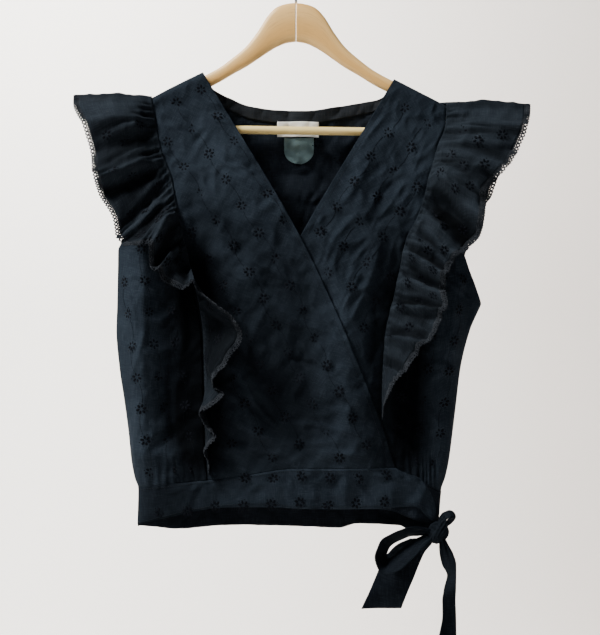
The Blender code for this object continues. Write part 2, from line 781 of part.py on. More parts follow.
def build_tie(collection):
    shape = bmesh.new()
    bmesh.ops.create_uvsphere(shape, u_segments=12, v_segments=8, radius=MM)
    bmesh.ops.scale(shape, vec=KNOT_RADII, verts=shape.verts)
    mesh = bpy.data.meshes.new("tie_knot")
    shape.to_mesh(mesh)
    shape.free()
    mesh.shade_smooth()
    knot = add_object("tie_knot", mesh, CLOTH_COLOUR, collection)
    knot.location = Vector(KNOT_AT) * MM
    for name, table, rows in (("tie_right_tail", RIGHT_TAIL, 14), ("tie_left_tail", LEFT_TAIL, 8)):
        grid = []
        for down in steps(rows):
            z = mix(table.keys[-1], table.keys[0], down)
            line = []
            for across in steps(4):
                belly = TAIL_BELLY * math.sin(math.pi * across) * (1 if z >= TAIL_TWIST_Z else -1)
                line.append(Vector((
                    mix(table.read("left", z), table.read("right", z), across),
                    mix(table.read("y1", z), table.read("y2", z), across) - belly,
                    z,
                )))
            grid.append(line)
        add_sheet(name, grid, CLOTH_COLOUR, collection)
    for name, table, rows in (("tie_left_loop", LEFT_LOOP, 18), ("tie_right_loop", RIGHT_LOOP, 10)):
        grid = []
        last = table.keys[-1]
        for along in steps(rows):
            part = along * last
            here = Vector([table.read(axis, part) for axis in "xyz"])
            ahead = Vector([table.read(axis, part + 0.05) for axis in "xyz"])
            behind = Vector([table.read(axis, part - 0.05) for axis in "xyz"])
            run = (ahead - behind).normalized()
            inward = run.cross(Vector((0, 1, 0))).normalized()
            across = (inward * LOOP_SLANT + Vector((0, 1, 0))).normalized()
            wide = table.read("wide", part)
            grid.append([here + across * wide * (level - 0.5) for level in steps(2)])
        add_sheet(name, grid, CLOTH_COLOUR, collection)


def flat_outline(name, points, thick, edge_round, colour, collection):
    curve = bpy.data.curves.new(name, "CURVE")
    curve.dimensions = "2D"
    curve.fill_mode = "BOTH"
    curve.extrude = thick / 2 * MM
    spline = curve.splines.new("POLY")
    spline.points.add(len(points) - 1)
    for spot, (x, z) in zip(spline.points, points):
        spot.co = (x * MM, z * MM, 0, 1)
    spline.use_cyclic_u = True
    curve.materials.append(make_material(name, colour))
    item = bpy.data.objects.new(name, curve)
    item.rotation_euler = (RIGHT_ANGLE, 0, 0)
    collection.objects.link(item)
    weld = item.modifiers.new("weld", "WELD")
    weld.merge_threshold = 0.00001
    bevel = item.modifiers.new("bevel", "BEVEL")
    bevel.width = edge_round * MM
    bevel.segments = 1
    bevel.limit_method = "ANGLE"
    bevel.angle_limit = math.radians(60)
    return item


def build_hanger(collection):
    for name, sign in (("hanger_left", -1), ("hanger_right", 1)):
        points = [(sign * out, z - TILT * sign * out) for out, z in WOOD_TOP + WOOD_UNDER]
        flat_outline(name, points, WOOD_THICK, WOOD_EDGE, WOOD_COLOUR, collection)


def round_rod(name, points, radius, colour, collection, resolution=2):
    curve = bpy.data.curves.new(name, "CURVE")
    curve.dimensions = "3D"
    curve.bevel_depth = radius * MM
    curve.bevel_resolution = resolution
    curve.use_fill_caps = True
    spline = curve.splines.new("POLY")
    spline.points.add(len(points) - 1)
    for spot, point in zip(spline.points, points):
        spot.co = (*(Vector(point) * MM), 1)
    curve.materials.append(make_material(name, colour))
    item = bpy.data.objects.new(name, curve)
    collection.objects.link(item)
    return item


def build_bar_and_hook(collection):
    ends = [(sign * BAR_HALF_LENGTH, 0, BAR_Z - TILT * sign * BAR_HALF_LENGTH) for sign in (-1, 1)]
    round_rod("hanger_bar", ends, BAR_RADIUS, WOOD_COLOUR, collection, 4)
    # The bend's inside top is the origin; the wire then turns down into the head
    middle_radius = HOOK_RADIUS + HOOK_WIRE
    bend = [math.radians(angle) for angle in range(-25, 226, 15)]
    points = [
        (-middle_radius * math.cos(angle), 0, -HOOK_RADIUS + middle_radius * math.sin(angle))
        for angle in bend
    ]
    end_x, _, end_z = points[-1]
    shank = [(mix(end_x, 0, part), 0, mix(end_z, HOOK_TURN_Z, part)) for part in (0.35, 0.7, 1.0)]
    points += shank + [(0, 0, HOOK_FOOT_Z + GAP)]
    round_rod("hanger_hook", points, HOOK_WIRE, STEEL_COLOUR, collection)


def main():
    for item in list(bpy.data.objects):
        bpy.data.objects.remove(item, do_unlink=True)
    collection = bpy.data.collections.new(COLLECTION)
    bpy.context.scene.collection.children.link(collection)
    build_fronts(collection)
    build_back(collection)
    build_neck(collection)
    build_bands(collection)
    build_ruffle("ruffle_left", "lace_left", RUFFLE_LEFT, -1, collection)
    build_ruffle("ruffle_right", "lace_right", RUFFLE_RIGHT, 1, collection)
    build_tie(collection)
    build_hanger(collection)
    build_bar_and_hook(collection)


main()
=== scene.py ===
import math

import bmesh
import bpy
import numpy as np
from mathutils import Matrix, Vector


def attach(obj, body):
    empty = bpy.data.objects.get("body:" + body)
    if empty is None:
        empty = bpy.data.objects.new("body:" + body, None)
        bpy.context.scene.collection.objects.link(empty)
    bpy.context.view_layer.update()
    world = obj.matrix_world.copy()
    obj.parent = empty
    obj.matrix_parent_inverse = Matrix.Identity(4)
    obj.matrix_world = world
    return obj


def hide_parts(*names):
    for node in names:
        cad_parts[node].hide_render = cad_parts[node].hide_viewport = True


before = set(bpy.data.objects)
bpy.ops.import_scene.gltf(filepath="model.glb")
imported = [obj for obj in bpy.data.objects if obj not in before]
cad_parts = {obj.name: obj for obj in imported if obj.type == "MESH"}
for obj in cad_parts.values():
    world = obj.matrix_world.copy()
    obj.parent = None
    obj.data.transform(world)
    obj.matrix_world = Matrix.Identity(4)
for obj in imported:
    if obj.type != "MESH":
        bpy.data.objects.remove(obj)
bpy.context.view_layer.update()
print("frame loaded")

# A ruffled wrap top of dark embroidered cotton on a wooden hanger.
# X runs to the right as seen from the front, the front faces -Y and Z is up.
# Tables are in millimetres; meshes are made in metres.
mm = 0.001


# Small tools
def mix(a, b, t):
    return a + (b - a) * t


def smooth(t):
    t = np.clip(t, 0.0, 1.0)
    return t * t * (3 - 2 * t)


def chart(columns, *rows):
    # Rows under named columns; the first column is what the others are read by
    data = np.array(sorted(rows), float)
    named = {name: data[:, i] for i, name in enumerate(columns.split())}
    named["at"] = data[:, 0]
    return named


def read(table, name, at):
    # A smooth curve through the rows, with no overshoot between them
    keys, values = table["at"], table[name]
    gaps = np.diff(keys)
    rises = np.diff(values) / gaps
    slopes = np.zeros(len(keys))
    slopes[0], slopes[-1] = rises[0], rises[-1]
    product = rises[:-1] * rises[1:]
    level = product > 0
    slopes[1:-1] = np.where(level, 2 * product / np.where(level, rises[:-1] + rises[1:], 1.0), 0.0)
    at = np.clip(at, keys[0], keys[-1])
    i = np.clip(np.searchsorted(keys, at, side="right") - 1, 0, len(keys) - 2)
    span = gaps[i]
    t = (at - keys[i]) / span
    return (
        values[i] * (2 * t**3 - 3 * t**2 + 1)
        + slopes[i] * span * (t**3 - 2 * t**2 + t)
        + values[i + 1] * (3 * t**2 - 2 * t**3)
        + slopes[i + 1] * span * (t**3 - t**2)
    )


def softNoise(u, v, size, seed):
    # Gentle unevenness between -1 and 1, the same on each run
    heights = np.random.RandomState(seed).uniform(-1, 1, (61, 61))
    a, b = u / size, v / size
    i, j = np.floor(a).astype(int), np.floor(b).astype(int)
    s, t = smooth(a - i), smooth(b - j)
    low = mix(heights[i % 61, j % 61], heights[(i + 1) % 61, j % 61], s)
    high = mix(heights[i % 61, (j + 1) % 61], heights[(i + 1) % 61, (j + 1) % 61], s)
    return mix(low, high, t)


def unit(vectors):
    return vectors / np.maximum(np.linalg.norm(vectors, axis=-1, keepdims=True), 1e-9)


def lengthsOf(points):
    # How far along the line of points each one lies
    return np.concatenate([[0], np.cumsum(np.linalg.norm(np.diff(points, axis=0), axis=-1))])


def atStops(stops, lengths, values):
    return np.stack([np.interp(stops, lengths, values[:, i]) for i in range(3)], -1)


# The body is a flat oval whose outline and depth change with height
body = {
    "power": 0.72,             # roundness of the oval
    "sideFade": 2.5,           # how soon the relief dies out towards the side seams
    "beyond": 1000.0,          # far outside the body, which is cut back to its side seam
    "turn": 0.06,              # front and back stand this far from the middle plane
    "seamDip": 0.9,            # the cloth sinks this far at a pressed seam
    "seamWide": 2.4,
    "tilt": 0.014,             # the whole hanger leans a little
    "shoulderDrop": 149.8,
    "shoulderAt": 120.0,
    "shoulderSlope": 0.50,
    "shoulderRound": 10.0,
    "layer": 3.0,              # how far the over front stands off the under front
    "overFromX": -212.0,
    "overFullX": -125.0,
    "wall": 0.7,
    "bandGap": -0.6,           # the panels reach this far under the waistband
    "probe": 1.5,              # step by which the slope of the cloth is felt
}
outline = chart(
    "z left right front back",
    (-140, -300, 300, 9, 9), (-190, -296, 296, 11, 11), (-250, -285, 288, 20, 15),
    (-310, -250, 276, 29, 19), (-366, -222, 258, 35, 22), (-434, -223, 231, 39, 25),
    (-466, -224, 217, 40, 26), (-514, -220, 205, 40, 27), (-554, -214, 200, 39, 27),
    (-591, -209, 195.5, 38, 27), (-629, -205, 190.5, 36.5, 26), (-650, -201, 186, 35, 25),
    (-665, -196, 181, 33.5, 24), (-716, -197.5, 177, 31, 22),
)
leftSeam = chart(
    "z x",
    (-176, -180), (-204, -175), (-246, -166), (-274, -155), (-322, -145), (-379, -132.5),
    (-479, -114), (-604, -111), (-660, -106),
)
rightSeam = chart(
    "z x",
    (-186, 187.5), (-210, 186), (-241, 175), (-276, 165), (-329, 149), (-354, 136), (-381, 130),
    (-429, 120), (-466, 111), (-504, 107.5), (-554, 106), (-660, 113),
)
wrapEdge = chart("z x", (-145, -115), (-350, 5), (-429, 42.5), (-504, 74), (-585, 105), (-636, 121))
underEdge = chart("z x", (-153, 122.5), (-347, 9), (-429, -35), (-504, -62), (-585, -84), (-650, -96))
leftArmhole = chart("z x", (-182, -192), (-230, -188), (-290, -192), (-340, -206), (-366, -222))
rightArmhole = chart(
    "z x",
    (-192, 199), (-240, 193), (-300, 192), (-350, 200), (-380, 210), (-416, 224), (-434, 231),
)
backSeam = chart("z x", (-176, 180), (-230, 172), (-300, 165), (-420, 160))
bandTop = chart("x z", (-200, -662), (-76, -647), (5, -636), (121, -636))
bandHem = chart(
    "x z",
    (-200, -709), (-151, -696), (-95, -684.5), (-57, -682.5), (5, -685), (55, -686), (99, -685.5),
    (144, -684), (163, -700), (173, -706),
)
bandEnd = chart("part x z", (0, 121, -636), (0.45, 154, -660), (0.7, 168, -679), (1, 173, -706))
underBandTop = chart("x z", (-96, -651), (60, -641), (121, -642), (182, -668))
underBandHem = chart("x z", (-96, -684), (60, -684), (110, -687), (150, -702), (182, -711))
backBandTop = chart("x z", (-200, -662), (-60, -655), (60, -655), (182, -668))
backBandHem = chart(
    "x z",
    (-200, -711), (-145, -717), (-89, -713), (-20, -714), (55, -716.5), (76, -711), (130, -713),
    (142, -717), (182, -718),
)
backTop = chart(
    "x z",
    (-192, -183), (-150, -162.7), (-116, -146.2), (-115, -148.6), (-113.5, -151.5), (-111, -156),
    (-104, -164), (-82, -175.5), (-57.5, -185), (-25, -189.5), (11, -190.6), (55, -185), (80, -181),
    (100, -177.5), (113, -171), (119, -162), (120.8, -158), (122, -155.4), (123, -153),
    (160, -172), (199, -192),
)
facingHeight = chart("x tall", (-104, 15), (-57.5, 16), (11, 17), (80, 15), (109, 13))

# Broad soft folds of the front: two ends, half width and height
frontFolds = (
    (-120, -215, -30, -330, 17, 2.4),
    (-128, -300, -20, -420, 20, -2.6),
    (-100, -360, 20, -470, 18, 2.8),
    (-95, -470, 60, -590, 22, -2.6),
    (-85, -560, 20, -640, 15, 2.2),
    (118, -215, 60, -300, 15, 2.0),
    (100, -320, 55, -400, 14, -2.0),
    (-186, -622, -112, -616, 15, 5.0),
)
# The front hangs in wide upright swells below the chest: how far it stands out across it
frontSwell = chart(
    "x high",
    (-222, 0), (-208, 5), (-196, 10), (-188, 11), (-180, 6), (-168, -3), (-150, -12), (-138, -16),
    (-126, -17.5), (-114, -17), (-102, -13), (-86, -8), (-66, -5), (-25, -8), (5, -8), (38, -2),
    (62, 2), (84, -2), (104, -8), (128, -13), (144, -13), (156, -9), (168, -2), (182, 6),
    (195, 9), (204, 6), (212, 0),
)
swellHeight = chart(
    "z part",
    (-716, 0), (-675, 0.1), (-650, 0.35), (-620, 0.75), (-585, 0.95), (-540, 1), (-440, 1), (-390, 0.75),
    (-340, 0.2), (-310, 0),
)
# Creases of the front: two ends, half width, height and how far the middle bows
frontCreases = (
    # left side panel
    (-183, -458, -208, -535, 3.2, 1.5, 2),
    (-214, -395, -196, -470, 5, 0.9, 4),
    (-146, -405, -140, -500, 7, 2.2, 3),
    (-190, -545, -200, -640, 5, 1.2, -3),
    (-158, -520, -150, -600, 7, -1.4, 0),
    (-206, -560, -198, -655, 3, 0.9, 1),
    # over front
    (-108, -195, -60, -235, 5, 0.7, 3),
    (-70, -240, -22, -282, 6, -0.8, -4),
    (-95, -258, -38, -296, 4.5, 0.8, 4),
    (-40, -300, 8, -352, 5, 0.9, 5),
    (-105, -318, -62, -372, 7, -1.3, 4),
    (-20, -345, 25, -380, 4, 0.8, -3),
    (-62, -380, 6, -420, 6, 1.1, 6),
    (-98, -420, -45, -520, 9, -1.8, 8),
    (-30, -432, 45, -470, 5, 0.9, -5),
    (-85, -505, -50, -560, 6, 1.6, 4),
    (-15, -500, 62, -528, 5, -0.8, 5),
    (-75, -575, -28, -600, 4.5, 1.3, -4),
    (-12, -580, 66, -592, 3.6, 1.2, 4),
    (-25, -604, 58, -600, 3.4, 1.1, -3),
    (20, -616, 92, -622, 3.2, 0.9, 3),
    (45, -540, 92, -590, 5, -1.0, 4),
    (-60, -612, -8, -622, 3, 0.8, 2),
    # under front
    (112, -200, 78, -245, 5, 0.8, -3),
    (92, -252, 48, -318, 6, 0.9, 5),
    (126, -262, 96, -312, 5, -1.0, 4),
    (72, -330, 36, -372, 5, 0.8, -4),
    (104, -356, 82, -420, 6, 1.2, 3),
    (96, -420, 92, -520, 7, -1.4, 4),
    # right side panel
    (166, -372, 152, -470, 6, 1.6, -4),
    (196, -420, 178, -520, 4, 1.2, 3),
    (142, -452, 140, -560, 8, -1.8, 2),
    (182, -520, 168, -620, 4, 1.0, -2),
    (210, -400, 202, -470, 3.5, -0.9, 1),
)
backFolds = (
    (-120, -260, -20, -420, 20, 2.2),
    (130, -260, 40, -440, 20, 2.2),
    (-170, -400, -120, -640, 18, -2.4),
    (150, -380, 130, -640, 18, -2.4),
    (0, -380, 30, -640, 24, 2.4),
    (-60, -440, -70, -640, 18, -2.2),
    (80, -460, 85, -640, 16, 2.0),
)
backCreases = (
    (-92, -205, -46, -262, 6, 1.2, 4),
    (-30, -212, 6, -250, 5, -1.2, -4),
    (18, -214, 52, -262, 6, 1.4, 4),
    (84, -202, 46, -258, 5, -1.0, 3),
    (-18, -244, 62, -300, 6, 1.2, 6),
    (-134, -230, -110, -330, 7, 1.2, 5),
    (140, -240, 118, -340, 7, 1.1, -5),
    (-70, -330, 10, -372, 6, 0.9, 7),
    (94, -352, 32, -404, 6, 0.9, -6),
    (-150, -420, -172, -560, 6, 1.3, 5),
    (162, -420, 170, -540, 6, 1.3, -4),
    (-40, -470, -20, -600, 7, 1.2, 4),
    (52, -480, 62, -620, 6, -1.2, 4),
    (-104, -500, -96, -620, 6, 1.1, 3),
    (110, -470, 104, -610, 5, 1.0, -3),
)
# Runs of gathers above the waistband: side, ends, number of waves, height, how tall
gatherRuns = (
    (-1, -198, -96, 13, 1.5, 66),
    (-1, 132, 182, 8, 1.6, 96),
    (1, -190, 176, 34, 1.5, 72),
)
gathers = {
    "drift": 0.22,             # a pleat wanders sideways by this share of its pitch
    "driftTall": 55,
    "uneven": 0.05,
    "tallVaries": 0.38,
    "overUpTo": 118,           # the over waistband runs to here, the under one beyond
}


def besideLine(ends, x, z):
    # How far a point lies along the line and beside it, and how long the line is
    x1, z1, x2, z2 = ends
    length = math.hypot(x2 - x1, z2 - z1)
    along = ((x - x1) * (x2 - x1) + (z - z1) * (z2 - z1)) / length
    across = ((x - x1) * (z2 - z1) - (z - z1) * (x2 - x1)) / length
    return along, across, length


def creaseHeight(rows, x, z, pinch=0.4):
    # Each row is a ridge or trough with a soft crest, dying out at both ends
    high = np.zeros(np.broadcast(x, z).shape)
    for *ends, wide, peak, bow in rows:
        along, across, length = besideLine(ends, x, z)
        across = across + bow * np.sin(np.pi * np.clip(along / length, 0, 1))
        fade = max(wide, length * 0.3)
        part = smooth((along + wide) / fade) * smooth((length + wide - along) / fade)
        crest = pinch * wide
        high = high + peak * part * np.exp(-(np.sqrt(across**2 + crest**2) - crest) / wide * 1.7)
    return high


def foldHeight(rows, x, z):
    # The broad folds, rounder than the creases
    high = np.zeros(np.broadcast(x, z).shape)
    for *ends, wide, peak in rows:
        along, across, length = besideLine(ends, x, z)
        part = smooth((along + wide) / (2 * wide)) * smooth((length + wide - along) / (2 * wide))
        high = high + peak * part * np.exp(-((across / wide) ** 2) * 1.6)
    return high


def gatherHeight(side, x, z):
    # Uneven pleats that open out upwards from the waist seam
    high = np.zeros(np.broadcast(x, z).shape)
    for on, x1, x2, waves, peak, tall in gatherRuns:
        if on != side:
            continue
        part = (x - x1) / (x2 - x1)
        if side > 0:
            seam = read(backBandTop, "z", x)
        else:
            seam = np.where(x < gathers["overUpTo"], read(bandTop, "z", x), read(underBandTop, "z", x))
        up = z - seam
        drift = gathers["drift"] * softNoise(part * waves, up / gathers["driftTall"], 1.0, 5 + waves)
        phase = waves * (part + gathers["uneven"] * np.sin(9 * part + 1)) + drift
        varied = gathers["tallVaries"] * softNoise(part * waves, up * 0, 0.9, 31)
        reach = tall * (1 - gathers["tallVaries"] + varied)
        fade = smooth(1 - up / reach) * smooth((up + 1) / 3)
        inside = smooth(part * waves) * smooth((1 - part) * waves)
        ridge = np.sin(2 * np.pi * phase)
        high = high + peak * fade * inside * (ridge * 0.8 + 0.35 * np.abs(ridge))
    return high


def shoulderLine(x):
    leant = -body["shoulderDrop"] - body["shoulderSlope"] * (np.abs(x) - body["shoulderAt"])
    return leant - body["tilt"] * x


def shoulderWrap(below):
    # Cloth over the arm of the hanger: a quarter round, then straight down
    part = np.clip(below, 0, body["shoulderRound"]) / body["shoulderRound"]
    return np.sqrt(np.maximum(1 - (1 - part) ** 2, 0))


def bodySides(z, grow=0.0):
    return read(outline, "left", z) - grow, read(outline, "right", z) + grow


def angleAt(x, z, grow=0.0):
    left, right = bodySides(z, grow)
    return np.arcsin(np.clip((2 * x - left - right) / (right - left), -1, 1))


def crumple(u, v, size, seed):
    # Pressed cotton creases in short sharp ridges that wander between flatter facets
    bentU = u + 0.5 * size * softNoise(u, v, size * 1.7, seed + 1)
    bentV = v + 0.5 * size * softNoise(v, u, size * 1.7, seed + 2)
    return 1 - 2.4 * np.abs(softNoise(bentU, bentV, size, seed))


def swellAt(x, z):
    return read(frontSwell, "high", x) * read(swellHeight, "part", z)


# Painted shadow: how much darker the fronts and the waistband are painted where they lie back in shadow,
# across and down
frontPaintedShade = chart(
    "x deep",
    (-200, 0), (-162, 0), (-150, 0.6), (-138, 1.0), (-116, 1.1), (-104, 0.6), (-84, 0.25), (-60, 0.05),
    (-20, 0), (84, 0), (104, 0.3), (124, 0.85), (150, 0.9), (160, 0.5), (170, 0), (200, 0),
)
bandPaintedShade = chart(
    "x deep",
    (-200, 0.5), (-160, 0.85), (-110, 0.6), (-80, 0.3), (-40, 0.1), (20, 0.05), (90, 0), (173, 0.1),
)
paintedShadeHeight = chart(
    "z part",
    (-700, 0.45), (-660, 0.75), (-600, 1), (-470, 1), (-410, 0.9), (-360, 0.6), (-310, 0.1), (-280, 0),
)
# Painted shade in the folds: how deep a fold must be to be painted all dark, and how dark level cloth is
# painted
paintedFoldShade = {
    "deep": 15,                # a fold this deep is all dark
    "swellDeep": 40,           # the same where the chart of the front already darkens it
    "level": 0.22,             # how dark level cloth is
    "creaseCount": 2.4,        # creases count for more than their height, as their sides are steep
    "gatherCount": 1.6,
    "swellCount": 1.2,
    "wander": 4,               # the edge of the shade wanders this far
    "wanderSize": 37,
}
creaseStrength = 2.0
# Rumple of worn cotton: height, size, seed, and how its own u and v come from x and z
rumples = (
    (1.6, 34, 13, (1, 0), (0, 0.8)),
    (1.1, 23, 28, (1, 1), (-1, 1)),
    (0.6, 13, 71, (1, -0.4), (0, 0.7)),
)


def bodyPaintedShade(x, z):
    # Painted shade: how dark the front is painted in its folds and beside the ruffles, where shade falls
    relief = paintedFoldShade["creaseCount"] * creaseHeight(frontCreases, x, z)
    relief = relief + paintedFoldShade["gatherCount"] * gatherHeight(-1, x, z) + foldHeight(frontFolds, x, z)
    relief = relief + paintedFoldShade["swellCount"] * swellAt(x, z)
    wander = paintedFoldShade["wander"] * softNoise(x, z, paintedFoldShade["wanderSize"], 83)
    shade = read(frontPaintedShade, "deep", x + wander) * read(paintedShadeHeight, "part", z)
    inFolds = hollowAt(relief, paintedFoldShade["deep"], paintedFoldShade["level"])
    return np.maximum(inFolds, shade + hollowAt(relief, paintedFoldShade["swellDeep"], 0.0))


def bodyRelief(x, z, side):
    folds = foldHeight(frontFolds if side < 0 else backFolds, x, z)
    creases = creaseStrength * creaseHeight(frontCreases if side < 0 else backCreases, x, z)
    rumple = 0.0 * x
    for high, size, seed, (ux, uz), (vx, vz) in rumples:
        rumple = rumple + high * crumple(x * ux + z * uz, x * vx + z * vz, size, seed + side)
    relief = folds + creases + gatherHeight(side, x, z) + rumple
    if side < 0:
        relief = relief + swellAt(x, z)
        seam = np.where(x < 0, read(leftSeam, "x", z), read(rightSeam, "x", z))
        relief = relief - body["seamDip"] * np.exp(-(((x - seam) / body["seamWide"]) ** 2))
    return relief


def bodyPoint(angle, z, side, grow=0.0):
    # side is -1 on the front and 1 on the back; grow moves the point out from the body
    left, right = bodySides(z, grow)
    x = mix(left, right, (np.sin(angle) + 1) / 2)
    across = np.maximum(np.cos(angle), 0)
    depth = read(outline, "front" if side < 0 else "back", z) + grow
    wrap = shoulderWrap(shoulderLine(x) + grow - z)
    relief = bodyRelief(x, z, side) * np.minimum(across * body["sideFade"], 1)
    z = np.where(wrap < 1, np.minimum(z, shoulderLine(x) + grow), z)
    y = side * (body["turn"] + depth * across ** body["power"] * wrap + relief * wrap)
    return np.stack(np.broadcast_arrays(x, y, z), -1)


def overGrow(x):
    part = (x - body["overFromX"]) / (body["overFullX"] - body["overFromX"])
    return body["layer"] * smooth(part)


def flatGrow(x):
    return 0.0 * x


def surfaceAt(x, z, side, grow=flatGrow):
    # A point on the cloth, with its outward normal and the direction down the cloth
    def at(px, pz):
        lift = grow(px)
        return bodyPoint(angleAt(px, pz, lift), pz, side, lift)

    here, step = at(x, z), body["probe"]
    down = unit(at(x, z - step) - at(x, z + step))
    across = unit(at(x + step, z) - at(x - step, z))
    normal = unit(np.cross(across, down))
    facing = np.sign(normal[..., 1:2] * side)
    return here, normal * np.where(facing == 0, 1, facing), down


# Panels between two seam lines
def seamLine(table, top, bottom, shift=0.0):
    def at(part):
        z = mix(top, bottom, part)
        return read(table, "x", z) + shift, z
    return at


def sideLine(armhole, top, bottom, sign):
    # Down the armhole, then down the side seam where front and back meet
    def at(part):
        z = mix(top, bottom, part)
        return np.where(z < armhole["at"][0], sign * body["beyond"], read(armhole, "x", z)), z
    return at


def panelGrid(downs, acrosses, left, right, side, grow=flatGrow, top=None, bottom=None):
    xLeft, zLeft = left(downs)
    xRight, zRight = right(downs)
    down, across = downs[:, None], acrosses[None, :]
    angle = mix(angleAt(xLeft, zLeft)[:, None], angleAt(xRight, zRight)[:, None], across)
    level = mix(zLeft[:, None], zRight[:, None], across)
    z = level
    first, last = np.array(0.0), np.array(1.0)
    for _ in range(5):
        x = bodyPoint(angle, z, side)[..., 0]
        z = level
        if top:
            z = z + (top(x) - mix(left(first)[1], right(first)[1], across)) * smooth(1 - down)
        if bottom:
            z = z + (bottom(x) - mix(left(last)[1], right(last)[1], across)) * smooth(down)
    return bodyPoint(angle, z, side, grow(x))


def clothPlace(grid, turn=0.0):
    # Where each point lies on the flat cloth, in metres, turned to the panel's grain
    steps = np.linalg.norm(np.diff(grid, axis=1), axis=-1)
    u = np.concatenate([np.zeros((len(grid), 1)), np.cumsum(steps, axis=1)], axis=1)
    u = u + grid[:, :1, 0]
    falls = np.linalg.norm(np.diff(grid, axis=0), axis=-1)
    v = np.concatenate([np.zeros((1, grid.shape[1])), -np.cumsum(falls, axis=0)], axis=0)
    v = v + grid[:1, :, 2]
    c, s = math.cos(turn), math.sin(turn)
    return np.stack([u * c - v * s, u * s + v * c], -1) * mm


def hollowAt(relief, deep, soft=0.5):
    # How far down in a fold the cloth lies, from 0 on the crests to 1 in the depths, which sets how dark its
    # shade is painted
    return np.clip(soft - relief / deep, 0, 1)


def gridMesh(name, grid, uv=None, flip=False, paintedShade=None):
    rows, columns = grid.shape[:2]
    index = np.arange(rows * columns).reshape(rows, columns)
    faces = np.stack([index[:-1, :-1], index[1:, :-1], index[1:, 1:], index[:-1, 1:]], -1)
    faces = faces.reshape(-1, 4)
    if flip:
        faces = faces[:, ::-1]
    mesh = bpy.data.meshes.new(name)
    mesh.from_pydata((grid.reshape(-1, 3) * mm).tolist(), [], faces.tolist())
    if uv is None:
        uv = clothPlace(grid)
    layer = mesh.uv_layers.new(name="cloth")
    layer.data.foreach_set("uv", uv.reshape(-1, 2)[faces.reshape(-1)].reshape(-1))
    if paintedShade is not None:
        depth = mesh.attributes.new("paintedShade", "FLOAT", "POINT")
        depth.data.foreach_set("value", np.ascontiguousarray(paintedShade, np.float32).reshape(-1))
    mesh.shade_smooth()
    return mesh


def newObject(name, data):
    item = bpy.data.objects.new(name, data)
    bpy.context.scene.collection.objects.link(item)
    return item


def plainMesh(item):
    # The object's mesh with its modifier worked in
    graph = bpy.context.evaluated_depsgraph_get()
    graph.update()
    return bpy.data.meshes.new_from_object(item.evaluated_get(graph))


def turnOut(mesh, merge=0.0):
    # Points that lie together are merged, and the faces turned outwards
    shape = bmesh.new()
    shape.from_mesh(mesh)
    if merge:
        bmesh.ops.remove_doubles(shape, verts=shape.verts, dist=merge)
    bmesh.ops.recalc_face_normals(shape, faces=shape.faces)
    shape.to_mesh(mesh)
    shape.free()
    mesh.shade_smooth()
    return mesh


def keepPiece(item, replaces=()):
    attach(item, "root")
    if replaces:
        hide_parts(*replaces)
    return item


def addPiece(name, mesh, material, wall=None, replaces=()):
    item = newObject(name, mesh)
    mesh.materials.clear()
    mesh.materials.append(material)
    if wall:
        thick = item.modifiers.new("wall", "SOLIDIFY")
        thick.thickness = wall * mm
        thick.offset = 0.0
        thick.use_even_offset = False
    return keepPiece(item, replaces)


# Materials
def nodesOf(name):
    material = bpy.data.materials.new(name)
    material.use_nodes = True
    tree = material.node_tree
    return material, tree, tree.nodes["Principled BSDF"]


def feed(tree, socket, value):
    # A socket takes either a link or a plain value
    if isinstance(value, bpy.types.NodeSocket):
        tree.links.new(value, socket)
    else:
        socket.default_value = value


def addNode(tree, kind, settings=None, **values):
    node = tree.nodes.new(kind)
    for key, value in (settings or {}).items():
        setattr(node, key, value)
    for key, value in values.items():
        feed(tree, node.inputs[key.replace("_", " ")], value)
    return node


def mathNode(tree, operation, a, b=0.5):
    node = tree.nodes.new("ShaderNodeMath")
    node.operation = operation
    for socket, value in zip(node.inputs, (a, b)):
        feed(tree, socket, value)
    return node.outputs[0]


def mixColour(tree, part, first, second, blend="MIX"):
    node = tree.nodes.new("ShaderNodeMix")
    node.data_type = "RGBA"
    node.blend_type = blend
    for number, value in ((0, part), (6, first), (7, second)):
        feed(tree, node.inputs[number], value)
    return node.outputs[2]


def rangeNode(tree, value, low, high, toLow=0.0, toHigh=1.0):
    node = addNode(
        tree, "ShaderNodeMapRange", Value=value, From_Min=low, From_Max=high, To_Min=toLow, To_Max=toHigh
    )
    return node.outputs["Result"]


def stretched(tree, source, scale):
    return addNode(tree, "ShaderNodeMapping", Vector=source, Scale=scale).outputs["Vector"]


def noiseNode(tree, source, scale, detail=2.0, rough=0.5):
    node = addNode(tree, "ShaderNodeTexNoise", Vector=source, Scale=scale, Detail=detail, Roughness=rough)
    return node.outputs["Fac"]


def threadScale(period):
    # Wave scale that gives one band in each period
    return 2 * math.pi / 20 / period


def addBump(tree, shader, height, strength, distance):
    bump = addNode(tree, "ShaderNodeBump", Height=height, Strength=strength, Distance=distance)
    tree.links.new(bump.outputs["Normal"], shader.inputs["Normal"])


cottonLooks = {
    "gloss": 0.02,
    "threadPeriod": 0.0009,    # metres from thread to thread
    "slubStretch": (900, 60, 1),
    "patchScale": 14.0,
    "roughness": 0.78,
    "sheen": 0.015,
    "sheenTint": (0.55, 0.62, 0.78, 1),
    "bump": 0.5,
    "paintedShadeMost": 1.25,        # the painted shade value that counts as deepest
    "paintedShadeLeft": 0.10,       # share of the colour's brightness that the deepest painted shade leaves
}


